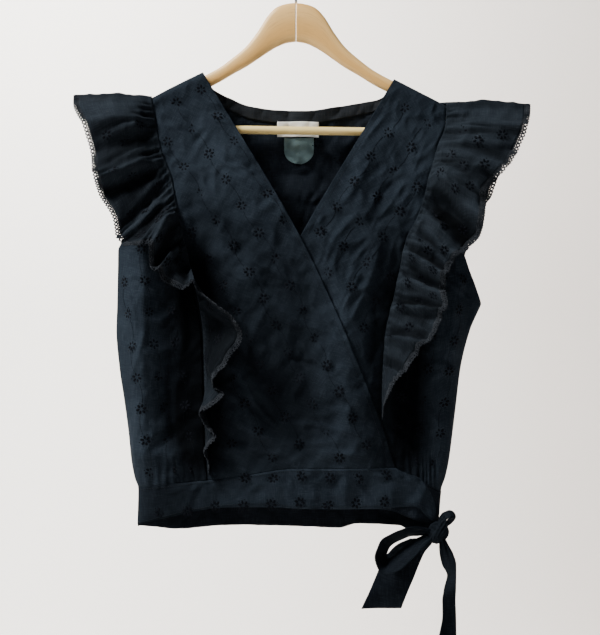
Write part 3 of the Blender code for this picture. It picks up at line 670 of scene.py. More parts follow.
def cottonMaterial(name, deep, lit, worn):
    # Woven cotton: warp and weft threads, slubs, patches where the dye is a little paler, and painted shade
    # in the folds and where shadow falls
    material, tree, shader = nodesOf(name)
    uv = addNode(tree, "ShaderNodeUVMap", {"uv_map": "cloth"}).outputs["UV"]
    waveScale = threadScale(cottonLooks["threadPeriod"])
    warp = addNode(tree, "ShaderNodeTexWave", Vector=uv, Scale=waveScale, Distortion=0.6)
    weft = addNode(
        tree, "ShaderNodeTexWave", {"bands_direction": "Y"}, Vector=uv, Scale=waveScale, Distortion=0.6
    )
    threads = mathNode(tree, "MAXIMUM", warp.outputs["Fac"], weft.outputs["Fac"])
    wide, high, flat = cottonLooks["slubStretch"]
    slubs = mathNode(
        tree, "ADD",
        noiseNode(tree, stretched(tree, uv, (wide, high, flat)), 1.0),
        noiseNode(tree, stretched(tree, uv, (high, wide, flat)), 1.0),
    )
    place = addNode(tree, "ShaderNodeTexCoord").outputs["Object"]
    patch = noiseNode(tree, place, cottonLooks["patchScale"], 4.0, 0.6)
    fuzz = noiseNode(tree, place, 420.0, 2.0, 0.6)
    colour = mixColour(tree, rangeNode(tree, patch, 0.36, 0.66), deep, lit)
    colour = mixColour(tree, rangeNode(tree, slubs, 0.95, 1.3, 0.0, 0.5), colour, worn)
    colour = mixColour(tree, rangeNode(tree, fuzz, 0.55, 0.85, 0.0, 0.35), colour, worn)
    # Painted shade: the colour is darkened by the mesh's painted shade value, in folds and where shadow falls
    paintedShade = addNode(tree, "ShaderNodeAttribute", {"attribute_name": "paintedShade"}).outputs["Fac"]
    shade = rangeNode(tree, paintedShade, 0.0, cottonLooks["paintedShadeMost"], 1.0, cottonLooks["paintedShadeLeft"])
    colour = mixColour(tree, 1.0, colour, shade, "MULTIPLY")
    tree.links.new(colour, shader.inputs["Base Color"])
    rough = rangeNode(tree, slubs, 0.6, 1.4, cottonLooks["roughness"] - 0.1, cottonLooks["roughness"] + 0.12)
    tree.links.new(rough, shader.inputs["Roughness"])
    shader.inputs["Specular IOR Level"].default_value = cottonLooks["gloss"]
    shader.inputs["Sheen Weight"].default_value = cottonLooks["sheen"]
    shader.inputs["Sheen Roughness"].default_value = 0.45
    shader.inputs["Sheen Tint"].default_value = cottonLooks["sheenTint"]
    height = mathNode(tree, "ADD", mathNode(tree, "MULTIPLY", threads, 0.4), slubs)
    addBump(tree, shader, height, cottonLooks["bump"], 0.0004)
    return material


def threadMaterial(name, deep, lit, period, sheen, roughness, gloss):
    # Twisted thread: a fine slanting ply with paler fibres on top; the lace's pale colour is mostly painted
    # sheen
    material, tree, shader = nodesOf(name)
    place = addNode(tree, "ShaderNodeTexCoord").outputs["Object"]
    ply = addNode(
        tree, "ShaderNodeTexWave", {"bands_direction": "DIAGONAL"},
        Vector=place, Scale=threadScale(period), Distortion=2.0, Detail=1.0,
    ).outputs["Fac"]
    patch = noiseNode(tree, place, 60.0, 3.0, 0.6)
    part = mathNode(tree, "MULTIPLY", ply, rangeNode(tree, patch, 0.3, 0.7))
    tree.links.new(mixColour(tree, part, deep, lit), shader.inputs["Base Color"])
    rough = rangeNode(tree, patch, 0.3, 0.7, roughness - 0.1, roughness + 0.1)
    tree.links.new(rough, shader.inputs["Roughness"])
    shader.inputs["Specular IOR Level"].default_value = gloss
    shader.inputs["Sheen Weight"].default_value = sheen
    shader.inputs["Sheen Roughness"].default_value = 0.4
    shader.inputs["Sheen Tint"].default_value = (0.7, 0.75, 0.85, 1)
    addBump(tree, shader, ply, 0.5, 0.0002)
    return material


def woodMaterial(name, pale, grain, dark, varnish):
    # Grain runs along the length: u of the piece's own map goes along it, v round it
    material, tree, shader = nodesOf(name)
    uv = addNode(tree, "ShaderNodeUVMap", {"uv_map": "grain"}).outputs["UV"]
    bent = noiseNode(tree, stretched(tree, uv, (9, 30, 1)), 1.0, 2.0)
    rings = addNode(
        tree, "ShaderNodeTexWave", {"bands_direction": "Y"},
        Vector=stretched(tree, uv, (1.2, 22, 1)), Scale=1.0, Distortion=5.0, Detail=2.0,
    ).outputs["Fac"]
    pores = noiseNode(tree, stretched(tree, uv, (45, 1500, 1)), 1.0, 3.0, 0.65)
    colour = mixColour(tree, rangeNode(tree, rings, 0.25, 0.9), pale, grain)
    colour = mixColour(tree, rangeNode(tree, pores, 0.5, 0.75, 0.0, 0.55), colour, dark)
    colour = mixColour(tree, rangeNode(tree, bent, 0.35, 0.7, 0.0, 0.4), colour, grain)
    tree.links.new(colour, shader.inputs["Base Color"])
    tree.links.new(rangeNode(tree, pores, 0.3, 0.8, 0.36, 0.55), shader.inputs["Roughness"])
    shader.inputs["Coat Weight"].default_value = varnish
    shader.inputs["Coat Roughness"].default_value = 0.25
    addBump(tree, shader, pores, 0.18, 0.0003)
    return material


def steelMaterial(name):
    material, tree, shader = nodesOf(name)
    place = addNode(tree, "ShaderNodeTexCoord").outputs["Object"]
    drawn = noiseNode(tree, stretched(tree, place, (900, 900, 60)), 1.0, 3.0)
    smudge = noiseNode(tree, place, 90.0, 3.0)
    colour = mixColour(tree, smudge, (0.56, 0.56, 0.55, 1), (0.72, 0.72, 0.71, 1))
    tree.links.new(colour, shader.inputs["Base Color"])
    tree.links.new(rangeNode(tree, smudge, 0.3, 0.7, 0.18, 0.34), shader.inputs["Roughness"])
    shader.inputs["Metallic"].default_value = 1.0
    addBump(tree, shader, drawn, 0.15, 0.0001)
    return material


def labelMaterial(name, ground, shade, ribs):
    # Woven satin tape, finer one way than the other
    material, tree, shader = nodesOf(name)
    uv = addNode(tree, "ShaderNodeUVMap", {"uv_map": "cloth"}).outputs["UV"]
    weave = addNode(
        tree, "ShaderNodeTexWave", {"bands_direction": "Y"},
        Vector=uv, Scale=threadScale(ribs), Distortion=0.4,
    ).outputs["Fac"]
    fleck = noiseNode(tree, stretched(tree, uv, (2400, 500, 1)), 1.0, 2.0)
    colour = mixColour(tree, rangeNode(tree, fleck, 0.4, 0.75, 0.0, 0.7), ground, shade)
    tree.links.new(colour, shader.inputs["Base Color"])
    tree.links.new(rangeNode(tree, fleck, 0.3, 0.7, 0.5, 0.7), shader.inputs["Roughness"])
    shader.inputs["Sheen Weight"].default_value = 0.2
    addBump(tree, shader, weave, 0.4, 0.0002)
    return material


outsideCotton = cottonMaterial(
    "navy_cotton", (0.0125, 0.0180, 0.0260, 1), (0.0195, 0.0275, 0.0385, 1), (0.038, 0.051, 0.067, 1)
)
# Painted shade: the ruffles' cloth is the navy cotton copied darker, so they read as lying in shade
ruffleShadedCotton = cottonMaterial(
    "ruffle_cotton_painted_shade", (0.0100, 0.0138, 0.0188, 1), (0.0158, 0.0212, 0.0282, 1), (0.033, 0.042, 0.053, 1)
)
insideCotton = cottonMaterial(
    "navy_cotton_inside", (0.0080, 0.0112, 0.0165, 1), (0.0130, 0.0172, 0.0240, 1), (0.028, 0.035, 0.046, 1)
)
# A darker copy of the navy cotton: partly painted shade for the tie hanging in shadow below the waist, partly
# its plainer, denser cloth
tieShadedCotton = cottonMaterial(
    "tie_cotton_painted_shade", (0.0042, 0.0062, 0.0092, 1), (0.0075, 0.0102, 0.0140, 1), (0.018, 0.023, 0.030, 1)
)
facingCotton = cottonMaterial(
    "facing_cotton", (0.0140, 0.0165, 0.0200, 1), (0.0210, 0.0240, 0.0280, 1), (0.038, 0.042, 0.048, 1)
)
embroideryThread = threadMaterial(
    "embroidery_thread", (0.0022, 0.0030, 0.0050, 1), (0.0062, 0.0080, 0.0125, 1), 0.0006, 0.0, 0.6, 0.04
)
seamThread = threadMaterial(
    "seam_thread", (0.006, 0.008, 0.012, 1), (0.022, 0.028, 0.036, 1), 0.0005, 0.02, 0.6, 0.1
)
# Painted sheen: the lace thread is near black, and its paler ply colour stands in for the sheen that greys it
# over the cloth, while its own gloss and sheen are off
laceThread = threadMaterial(
    "lace_thread", (0.009, 0.011, 0.014, 1), (0.060, 0.067, 0.079, 1), 0.0006, 0.0, 0.5, 0.0
)
beech = woodMaterial(
    "beech", (0.98, 0.62, 0.23, 1), (0.88, 0.50, 0.15, 1), (0.60, 0.29, 0.07, 1), 0.10
)
paleBeech = woodMaterial(
    "pale_beech", (1.00, 0.80, 0.36, 1), (0.96, 0.70, 0.27, 1), (0.70, 0.42, 0.14, 1), 0.08
)
hookSteel = steelMaterial("hook_steel")
whiteTape = labelMaterial("white_tape", (0.90, 0.90, 0.88, 1), (0.74, 0.74, 0.73, 1), 0.0006)
tealTape = labelMaterial("teal_tape", (0.135, 0.225, 0.240, 1), (0.085, 0.150, 0.165, 1), 0.0006)
print("materials made")


# Fronts, back and waistband
panels = {
    "downCount": 170,
    "seamGap": 0.15,
    "bandThick": 1.5,
    "overColumns": 130,
    "underColumns": 104,
    "sideColumns": 60,
    "backColumns": 150,
    "bandRows": 20,
    "bandColumns": 250,
    "leftBottom": -650.5,      # where each seam meets the waistband
    "rightBottom": -641.0,
    "overBottom": -636.5,
    "leftSideBottom": -661.5,
    "rightSideBottom": -667.5,
    "neckLevel": -190.0,       # height at which the back neck's corners are told apart
    "sideGrain": 0.08,
    "bandFull": 0.5,           # the folded band is fuller in its middle by this
    "bandRumple": 0.25,
    # painted shade over the whole back band, which hangs in the shadow of the front
    "backBandPaintedShade": 0.55,
    "overGrain": 0.52,         # the over front is cut with its grain along the wrap edge
    "underGrain": -0.55,
}


def downSteps(count):
    # Close rows where the cloth turns over the hanger, then even ones
    turn = np.array([0, 0.003, 0.006, 0.01, 0.015, 0.021, 0.028, 0.036])
    return np.concatenate([turn, np.linspace(0.045, 1, count)])


def overBand(x):
    return read(bandTop, "z", x) + body["bandGap"]


def underBand(x):
    return read(underBandTop, "z", x) + body["bandGap"]


def shoulderEnd(table):
    # Where a seam or an edge meets the shoulder
    return shoulderLine(table["x"][-1])


downs = downSteps(panels["downCount"])
shoulderLeft, shoulderRight = shoulderEnd(leftSeam), shoulderEnd(rightSeam)
leftEdge = sideLine(leftArmhole, shoulderEnd(leftArmhole), panels["leftSideBottom"], -1)
rightEdge = sideLine(rightArmhole, shoulderEnd(rightArmhole), panels["rightSideBottom"], 1)
frontPanels = (
    (
        "front_over", panels["overColumns"], panels["overGrain"], overGrow, overBand,
        seamLine(leftSeam, shoulderLeft, panels["leftBottom"], panels["seamGap"]),
        seamLine(wrapEdge, shoulderEnd(wrapEdge), panels["overBottom"]),
    ),
    (
        "side_front_left", panels["sideColumns"], panels["sideGrain"], overGrow, overBand, leftEdge,
        seamLine(leftSeam, shoulderLeft, panels["leftBottom"], -panels["seamGap"]),
    ),
    (
        "front_under", panels["underColumns"], panels["underGrain"], flatGrow, underBand,
        seamLine(underEdge, shoulderEnd(underEdge), panels["leftBottom"]),
        seamLine(rightSeam, shoulderRight, panels["rightBottom"], -panels["seamGap"]),
    ),
    (
        "side_front_right", panels["sideColumns"], -panels["sideGrain"], flatGrow, underBand,
        seamLine(rightSeam, shoulderRight, panels["rightBottom"], panels["seamGap"]), rightEdge,
    ),
)
for name, columns, grain, grow, bottom, left, right in frontPanels:
    grid = panelGrid(downs, np.linspace(0, 1, columns), left, right, -1, grow, bottom=bottom)
    # Painted shade in the folds of the front and where shadow falls on it
    paintedShade = bodyPaintedShade(grid[..., 0], grid[..., 2])
    mesh = gridMesh(name + "_cloth", grid, clothPlace(grid, grain), paintedShade=paintedShade)
    item = addPiece(name + "_cloth", mesh, outsideCotton, body["wall"], [name])
print("fronts made")


def backColumns():
    # Extra columns where the neck turns down from the shoulders
    angles = angleAt(backTop["at"], np.full(len(backTop["at"]), panels["neckLevel"]))
    corners = (angles - angles[0]) / (angles[-1] - angles[0])
    parts = np.concatenate([np.linspace(0, 1, panels["backColumns"]), corners[1:-1]])
    return np.unique(np.round(parts, 5))


def backEdge(x):
    return np.minimum(read(backTop, "z", x), shoulderLine(x))


def backBand(x):
    return read(backBandTop, "z", x) + body["bandGap"]


grid = panelGrid(downs, backColumns(), leftEdge, rightEdge, 1, top=backEdge, bottom=backBand)
mesh = gridMesh("back_cloth", grid, flip=True)
item = addPiece("back_cloth", mesh, insideCotton, body["wall"], ["back"])


def level(x, top, bottom):
    return lambda part: (x + 0 * part, mix(top, bottom, part))


def overEnd(part):
    return read(bandEnd, "x", part), read(bandEnd, "z", part)


bands = (
    (
        "waistband_over", -1, overGrow, level(-body["beyond"], -662, -709), overEnd, bandTop, bandHem,
        ["front_over", "side_front_left"],
    ),
    (
        "waistband_under", -1, flatGrow, level(-96.0, -651, -684), level(body["beyond"], -668, -711),
        underBandTop, underBandHem, ["front_under", "side_front_right"],
    ),
    (
        "waistband_back", 1, flatGrow, level(-body["beyond"], -662, -710),
        level(body["beyond"], -668, -714), backBandTop, backBandHem, ["back"],
    ),
)
bandDowns, bandAcross = np.linspace(0, 1, panels["bandRows"]), np.linspace(0, 1, panels["bandColumns"])
bandGrids = {}
for name, side, grow, left, right, top, hem, rests in bands:
    grid = panelGrid(
        bandDowns, bandAcross, left, right, side, grow,
        top=lambda x: read(top, "z", x), bottom=lambda x: read(hem, "z", x),
    )
    bandGrids[name] = grid
    # The folded band is a little fuller in its middle than at its two stitched edges
    rumple = panels["bandRumple"] * softNoise(grid[..., 0], grid[..., 2], 11, 41)
    grid[..., 1] += side * (panels["bandFull"] * np.sin(np.pi * bandDowns)[:, None] + rumple)
    # Painted shade: the back band is darker all over, the front bands darker where the ruffles shade them
    if side > 0:
        paintedShade = np.full(grid.shape[:2], panels["backBandPaintedShade"])
    else:
        paintedShade = read(bandPaintedShade, "deep", grid[..., 0] + 5 * softNoise(grid[..., 0], grid[..., 2], 23, 97))
    mesh = gridMesh(name + "_cloth", grid, flip=side > 0, paintedShade=paintedShade)
    cotton = outsideCotton if name == "waistband_over" else insideCotton
    item = addPiece(name + "_cloth", mesh, cotton, panels["bandThick"], [name])
print("back and waistband made")


# Node trees that repeat a small shape along points, or sweep a thread along lines
def newTree(name, sizes):
    tree = bpy.data.node_groups.new(name, "GeometryNodeTree")
    tree.interface.new_socket("Geometry", in_out="INPUT", socket_type="NodeSocketGeometry")
    for label, value in sizes.items():
        socket = tree.interface.new_socket(label, in_out="INPUT", socket_type="NodeSocketFloat")
        socket.default_value = value
    tree.interface.new_socket("Geometry", in_out="OUTPUT", socket_type="NodeSocketGeometry")
    return tree, tree.nodes.new("NodeGroupInput"), tree.nodes.new("NodeGroupOutput")


def finishTree(tree, geometry, output, material, smoothShade=True):
    last = addNode(tree, "GeometryNodeRealizeInstances", Geometry=geometry)
    if smoothShade:
        last = addNode(tree, "GeometryNodeSetShadeSmooth", Geometry=last.outputs["Geometry"])
    paint = addNode(tree, "GeometryNodeSetMaterial", Geometry=last.outputs["Geometry"], Material=material)
    tree.links.new(paint.outputs["Geometry"], output.inputs["Geometry"])


def turnedOnPoints(tree, points, shape, angles):
    # The shape on each point, turned by the point's own angles
    turn = tree.nodes.new("FunctionNodeEulerToRotation")
    tree.links.new(angles, turn.inputs[0])
    place = addNode(
        tree, "GeometryNodeInstanceOnPoints", Points=points, Instance=shape, Rotation=turn.outputs[0]
    )
    return place.outputs["Instances"]


def instanceOnPoints(tree, points, shape):
    turn = addNode(tree, "GeometryNodeInputNamedAttribute", {"data_type": "FLOAT_VECTOR"}, Name="turn")
    return turnedOnPoints(tree, points, shape, turn.outputs["Attribute"])


def sweptThread(tree, curve, radius, sides=5, caps=True):
    # A round thread along the curve
    section = addNode(tree, "GeometryNodeCurvePrimitiveCircle", Resolution=sides, Radius=radius)
    sweep = addNode(
        tree, "GeometryNodeCurveToMesh", Curve=curve, Profile_Curve=section.outputs["Curve"], Fill_Caps=caps
    )
    return sweep.outputs["Mesh"]


def ringTree(name, material, radius, thread, sides=10):
    tree, start, end = newTree(name, {"Ring radius": radius, "Thread radius": thread})
    size = start.outputs["Ring radius"]
    ring = addNode(tree, "GeometryNodeCurvePrimitiveCircle", Resolution=sides, Radius=size)
    shape = sweptThread(tree, ring.outputs["Curve"], start.outputs["Thread radius"], caps=False)
    finishTree(tree, instanceOnPoints(tree, start.outputs["Geometry"], shape), end, material)
    return tree


def stitchTree(name, material, length, height, thread):
    # One stitch: a thread that rises out of the cloth and dips back into it
    tree, start, end = newTree(name, {"Length": length, "Height": height, "Thread radius": thread})
    half = mathNode(tree, "MULTIPLY", start.outputs["Length"], 0.5)
    back = mathNode(tree, "MULTIPLY", half, -1.0)
    arc = addNode(
        tree, "GeometryNodeCurveQuadraticBezier", Resolution=4,
        Start=addNode(tree, "ShaderNodeCombineXYZ", X=back).outputs["Vector"],
        Middle=addNode(tree, "ShaderNodeCombineXYZ", Z=start.outputs["Height"]).outputs["Vector"],
        End=addNode(tree, "ShaderNodeCombineXYZ", X=half).outputs["Vector"],
    )
    shape = sweptThread(tree, arc.outputs["Curve"], start.outputs["Thread radius"])
    finishTree(tree, instanceOnPoints(tree, start.outputs["Geometry"], shape), end, material)
    return tree


def flowerTree(name, material, petals, reach, petalLong, petalWide, petalHigh):
    # A sprig: padded petals round an open middle, with a small dot between each two
    sizes = {"Reach": reach, "Petal length": petalLong, "Petal width": petalWide, "Petal height": petalHigh}
    tree, start, end = newTree(name, sizes)
    join = tree.nodes.new("GeometryNodeJoinGeometry")
    step = 2 * math.pi / petals
    # corners of each pad, its distance from the middle, its length and width, and turn in steps
    for corners, away, long, wide, turned in ((6, 1.0, 0.5, 0.5, 0.0), (4, 1.75, 0.18, 0.36 / 1.4, 0.5)):
        pad = addNode(
            tree, "GeometryNodeMeshCone", Vertices=corners, Radius_Top=0.5, Radius_Bottom=1.0, Depth=1.0
        )
        size = addNode(
            tree, "ShaderNodeCombineXYZ",
            X=mathNode(tree, "MULTIPLY", start.outputs["Petal length"], long),
            Y=mathNode(tree, "MULTIPLY", start.outputs["Petal width"], wide),
            Z=start.outputs["Petal height"],
        )
        shape = addNode(
            tree, "GeometryNodeTransform", Geometry=pad.outputs["Mesh"], Scale=size.outputs["Vector"]
        )
        distance = mathNode(tree, "MULTIPLY", start.outputs["Reach"], away)
        ring = addNode(tree, "GeometryNodeMeshCircle", Vertices=petals, Radius=distance)
        angle = mathNode(tree, "MULTIPLY", tree.nodes.new("GeometryNodeInputIndex").outputs[0], step)
        spin = addNode(tree, "ShaderNodeCombineXYZ", Z=angle).outputs["Vector"]
        pads = turnedOnPoints(tree, ring.outputs["Mesh"], shape.outputs["Geometry"], spin)
        whole = addNode(tree, "GeometryNodeTransform", Geometry=pads, Rotation=(0, 0, turned * step))
        tree.links.new(whole.outputs["Geometry"], join.inputs["Geometry"])
    flower = addNode(tree, "GeometryNodeRealizeInstances", Geometry=join.outputs["Geometry"])
    flowers = instanceOnPoints(tree, start.outputs["Geometry"], flower.outputs["Geometry"])
    finishTree(tree, flowers, end, material, smoothShade=False)
    return tree


def threadTree(name, material, radius, sides):
    # Sweeps a round thread along the lines of the mesh
    tree, start, end = newTree(name, {"Thread radius": radius})
    lines = addNode(tree, "GeometryNodeMeshToCurve", Mesh=start.outputs["Geometry"]).outputs["Curve"]
    shape = sweptThread(tree, lines, start.outputs["Thread radius"], sides)
    finishTree(tree, shape, end, material)
    return tree


def pointsMesh(name, places, outward, along):
    # outward is what the shape faces, along is its own X axis
    mesh = bpy.data.meshes.new(name)
    mesh.from_pydata((places * mm).tolist(), [], [])
    z = unit(outward)
    x = unit(along - z * np.sum(along * z, axis=-1, keepdims=True))
    y = np.cross(z, x)
    turns = [Matrix(np.stack([a, b, c], 1).tolist()).to_euler() for a, b, c in zip(x, y, z)]
    turn = mesh.attributes.new("turn", "FLOAT_VECTOR", "POINT")
    turn.data.foreach_set("vector", np.array(turns, np.float32).reshape(-1))
    return mesh


def grown(name, mesh, tree, sizes=None):
    # Runs the tree once and keeps its result as a plain mesh
    item = newObject(name, mesh)
    nodes = item.modifiers.new("nodes", "NODES")
    nodes.node_group = tree
    sockets = {s.name: s.identifier for s in tree.interface.items_tree if s.in_out == "INPUT"}
    for label, value in (sizes or {}).items():
        nodes[sockets[label]] = value
    result = plainMesh(item)
    item.modifiers.remove(nodes)
    result.name = name
    item.data = result
    return item


# Ruffles, a row for each fold; drop is the way down the seam, negative on the back
ruffleLeft = {
    "sign": -1,
    "lift": 0.0,
    "rows": chart(
        "drop x z y wide",
        (-190, -168, -392, 27, 14), (-160, -182, -372, 42, 40), (-135, -203, -352, 34, 58),
        (-110, -210, -325, 50, 66), (-88, -222, -300, 38, 74), (-66, -238, -274, 50, 80),
        (-46, -248, -246, 34, 86), (-26, -260, -212, 30, 94), (-12, -271, -190, 15, 97),
        (0, -277, -173, 0, 97), (12, -274, -193, -20, 97), (28, -258, -226, -38, 94),
        (44, -250, -254, -30, 92), (60, -246, -279, -48, 90), (76, -240, -301, -40, 88),
        (92, -220, -332, -56, 86), (110, -215, -358, -46, 84), (128, -201, -365, -68, 82),
        (148, -179, -366, -58, 76), (172, -172, -393, -74, 72), (196, -161, -407, -60, 66),
        (214, -132, -415, -76, 60), (232, -114, -425, -68, 56), (252, -92, -437, -78, 54),
        (286, -66, -472, -70, 56), (303, -84, -502, -78, 50), (320, -101, -527, -62, 44),
        (333, -97, -536, -51, 40), (346, -89, -545, -58, 36), (359, -102, -556, -66, 32),
        (372, -117, -566, -56, 28), (386, -109, -580, -48, 26), (400, -98, -594, -54, 22),
        (413, -105, -602, -58, 18), (426, -111, -612, -51, 14), (446, -106, -628, -46, 11),
        (466, -105, -644, -43, 10),
    ),
    # middle of the fold down the seam, lean towards the edge, half width, height, from and to
    "folds": (
        (-150, 12, 7, 2.6, 0.1, 0.9), (-118, -8, 8, -2.8, 0.1, 0.8), (-84, 10, 7, 2.8, 0.05, 0.9),
        (-52, -6, 7, -2.6, 0.05, 0.7), (-28, 6, 5, 2.0, 0.05, 0.6),
        (14, 2, 4.5, 2.2, 0.0, 0.75), (24, 6, 4.5, -2.0, 0.0, 0.6), (34, 10, 5.5, 4.0, 0.0, 1.0),
        (50, 4, 6, -3.4, 0.05, 0.8), (64, -12, 5.5, 2.6, 0.0, 0.7), (82, 10, 7, -4.0, 0.1, 0.9),
        (98, -10, 6, 3.0, 0.1, 1.0), (120, 8, 7, -3.6, 0.1, 0.9), (140, -6, 6, 3.4, 0.15, 1.0),
        (162, 6, 6, -3.2, 0.1, 0.9), (184, 0, 6, 3.0, 0.2, 1.0), (206, 10, 6, -2.6, 0.1, 0.8),
        (240, -8, 7, 2.6, 0.1, 0.9), (268, 10, 6, -2.4, 0.15, 0.9), (294, 0, 5, 1.8, 0.2, 0.9),
    ),
    # crest at the seam and at the edge, length of its rise, height, start across, width of the fall
    "laps": (
        (-96, -70, 26, 12, 0.1, 5),
        (37, 22, 9, 8, 0.0, 3),
        (85, 69, 24, 22, 0.05, 4.5),
        (126, 114, 11, 11, 0.1, 3.5),
        (156, 160, 12, 17, 0.0, 4),
        (194, 190, 13, 12, 0.1, 3.5),
        (230, 226, 12, 12, 0.1, 3.5),
        (258, 282, 18, 11, 0.05, 3.5),
    ),
    # hollow's middle at the seam and at the edge, half width, depth, painted shade, start and end across
    "valleys": (
        (-28, -30, 8, 2.5, 0.4, 0.0, 0.9),
        (60, 46, 17, 5.0, 0.7, 0.0, 1.1),
        (102, 92, 9, 4.0, 0.55, 0.05, 1.0),
        (138, 130, 9, 3.0, 0.5, 0.1, 0.9),
        (178, 172, 8, 5.0, 0.7, 0.0, 1.0),
        (212, 208, 7, 5.0, 0.8, 0.0, 1.0),
        (244, 250, 7, 3.5, 0.7, 0.0, 0.9),
        (306, 306, 52, 1.0, 1.0, 0.0, 1.2),
        (392, 392, 34, 1.0, 0.8, 0.0, 1.2),
    ),
}
# The right ruffle's tables have the same columns
ruffleRight = {
    "sign": 1,
    "lift": 0.3,
    "rows": chart(
        "drop x z y wide",
        (-190, 172, -412, 27, 14), (-160, 195, -397, 42, 40), (-135, 210, -379, 34, 58),
        (-112, 220, -362, 52, 70), (-90, 236, -341, 42, 76), (-68, 245, -310, 54, 82),
        (-48, 254, -281, 38, 86), (-28, 270, -240, 34, 96), (-12, 288, -204, 16, 102),
        (0, 292, -185, 0, 105), (12, 289, -201, -18, 102), (26, 283, -222, -36, 100),
        (40, 276, -240, -28, 98), (52, 267, -254, -44, 96), (64, 255, -272, -52, 92),
        (78, 240, -288, -40, 88), (92, 231, -304, -54, 84), (106, 229, -319, -44, 82),
        (120, 227, -343, -60, 80), (138, 212, -362, -50, 78), (154, 199, -379, -66, 74),
        (170, 188, -391, -56, 70), (188, 181, -408, -72, 66), (206, 179, -423, -60, 62),
        (224, 183, -439, -74, 60), (244, 176, -454, -62, 56), (266, 161, -481, -72, 54),
        (288, 142, -500, -60, 46), (308, 130, -516, -68, 38), (330, 120, -528, -56, 30),
        (350, 112, -544, -58, 22), (372, 108, -557, -50, 14), (392, 105, -572, -47, 10),
    ),
    "folds": (
        (-148, -12, 7, 2.6, 0.1, 0.9), (-116, 8, 8, -2.8, 0.1, 0.8), (-82, -10, 7, 2.8, 0.05, 0.9),
        (-50, 6, 7, -2.6, 0.05, 0.7), (-26, -6, 5, 2.0, 0.05, 0.6),
        (12, 4, 4.5, 2.4, 0.0, 0.7), (22, 8, 4, -2.0, 0.0, 0.6), (32, 2, 5, 3.0, 0.0, 0.8),
        (46, 10, 5.5, -3.0, 0.05, 0.9), (60, 4, 6, 3.4, 0.0, 1.0), (76, 12, 6, -3.4, 0.1, 0.8),
        (92, 0, 7, 3.6, 0.05, 1.0), (110, 12, 6, -3.8, 0.1, 0.9), (130, -8, 6, 3.0, 0.1, 1.0),
        (150, 8, 7, -4.0, 0.1, 0.9), (172, -6, 6, 3.4, 0.15, 1.0), (196, 10, 6, -3.0, 0.1, 0.9),
        (218, -4, 6, 3.0, 0.15, 1.0), (246, 8, 6, -2.6, 0.1, 0.8), (272, 0, 6, 2.4, 0.2, 0.9),
    ),
    "laps": (
        (-90, -64, 26, 12, 0.1, 5),
        (31, 24, 9, 8, 0.0, 3),
        (58, 42, 13, 9, 0.0, 3.5),
        (102, 124, 26, 26, 0.0, 4.5),
        (152, 162, 11, 13, 0.0, 3.5),
        (194, 190, 15, 19, 0.0, 4),
        (228, 216, 10, 11, 0.0, 3.5),
        (262, 236, 14, 17, 0.0, 3.5),
        (298, 276, 13, 12, 0.0, 3.5),
    ),
    "valleys": (
        (-24, -26, 8, 2.5, 0.4, 0.0, 0.9),
        (38, 30, 4, 3.0, 0.7, 0.0, 0.7),
        (74, 62, 5, 2.5, 0.5, 0.0, 0.6),
        (116, 136, 13, 7.0, 1.25, 0.05, 1.1),
        (176, 176, 7, 5.0, 1.1, 0.0, 1.0),
        (208, 202, 5, 4.0, 0.7, 0.0, 0.7),
        (244, 228, 8, 5.0, 1.1, 0.0, 1.0),
        (282, 258, 8, 4.0, 1.0, 0.0, 0.9),
        (316, 300, 9, 3.0, 1.0, 0.0, 0.9),
        (340, 320, 60, 0.5, 0.5, 0.0, 1.2),
    ),
}
ruffleMake = {
    "rise": 2.2,
    "bulge": 0.36,
    "lift": 0.5,
    "gatherPitch": 8.6,
    "gatherHigh": 1.7,
    "gatherReach": 0.30,       # share of the width that the gathers cross, and how that varies
    "gatherVaries": 0.24,
    "flutterPitch": 11.0,
    "flutterHigh": 1.3,
    "flutterFrom": 0.55,
    # rumple: height, stretch down and across, size and seed
    "rumples": ((1.5, 1.0, 75, 17, 37), (0.8, 0.6, 60, 9, 61)),
    "shoulderCalm": 10,        # the folds fade out this near the shoulder's crest
    "lapWander": 2.5,          # crests and hollows wander this far from their straight lines
    "valleyWander": 3,
    "rowPitch": 1.6,
    "turnRows": (1.2, 2.5, 4, 6, 8.0),  # closer rows either side of the shoulder's crest
    "columns": 44,
    "crowding": 1.15,          # the columns stand closer together near the seam
    "fullness": 1.9,           # cloth gathered into each millimetre of seam, for the weave
    "wall": 0.7,
    "laceWide": 7.0,
    "laceSmoothing": 30,
    "puff": 2.6,               # the turn over the shoulder is puffed a little
    "puffVaries": 1.6,
    "puffLong": 13,
    "tapeUnder": 0.9,          # the lace's tape starts this far inside the cloth's edge
    "paintedShadeReach": 9,          # rows up and down by which a hollow's painted shade is judged
    "paintedShadeDeep": 6.0,
}


def ruffleSeam(ruffle, drop):
    # A point just outside the seam, over the shoulder from back to front
    sign = ruffle["sign"]
    seam = leftSeam if sign < 0 else rightSeam
    front = drop >= 0
    frontTop, backTopX = seam["x"][-1], sign * backSeam["x"][-1]
    z = shoulderLine(np.where(front, frontTop, backTopX)) + ruffleMake["rise"] - np.abs(drop)
    x = np.where(front, read(seam, "x", z), sign * read(backSeam, "x", z))
    grow = ruffleMake["rise"] + ruffle["lift"] + np.where(front & (sign < 0), overGrow(x), 0.0)
    angle = angleAt(x, z, grow)
    return np.where(front[..., None], bodyPoint(angle, z, -1, grow), bodyPoint(angle, z, 1, grow))


def valleysAt(ruffle, drop, out):
    # Depth of the hollows between the flaps, and the shade painted into them
    depth, shade = 0 * drop, 0 * drop
    for atSeam, atEdge, half, deep, dark, start, end in ruffle["valleys"]:
        wander = ruffleMake["valleyWander"] * softNoise(out * 60, 0 * drop, 17, 89)
        off = (drop - mix(atSeam, atEdge, out) + wander) / half
        part = np.exp(-off**4) * smooth(0.2 + (out - start) / 0.25) * smooth((end + 0.15 - out) / 0.25)
        depth, shade = depth + deep * part, np.maximum(shade, dark * part)
    return depth, shade


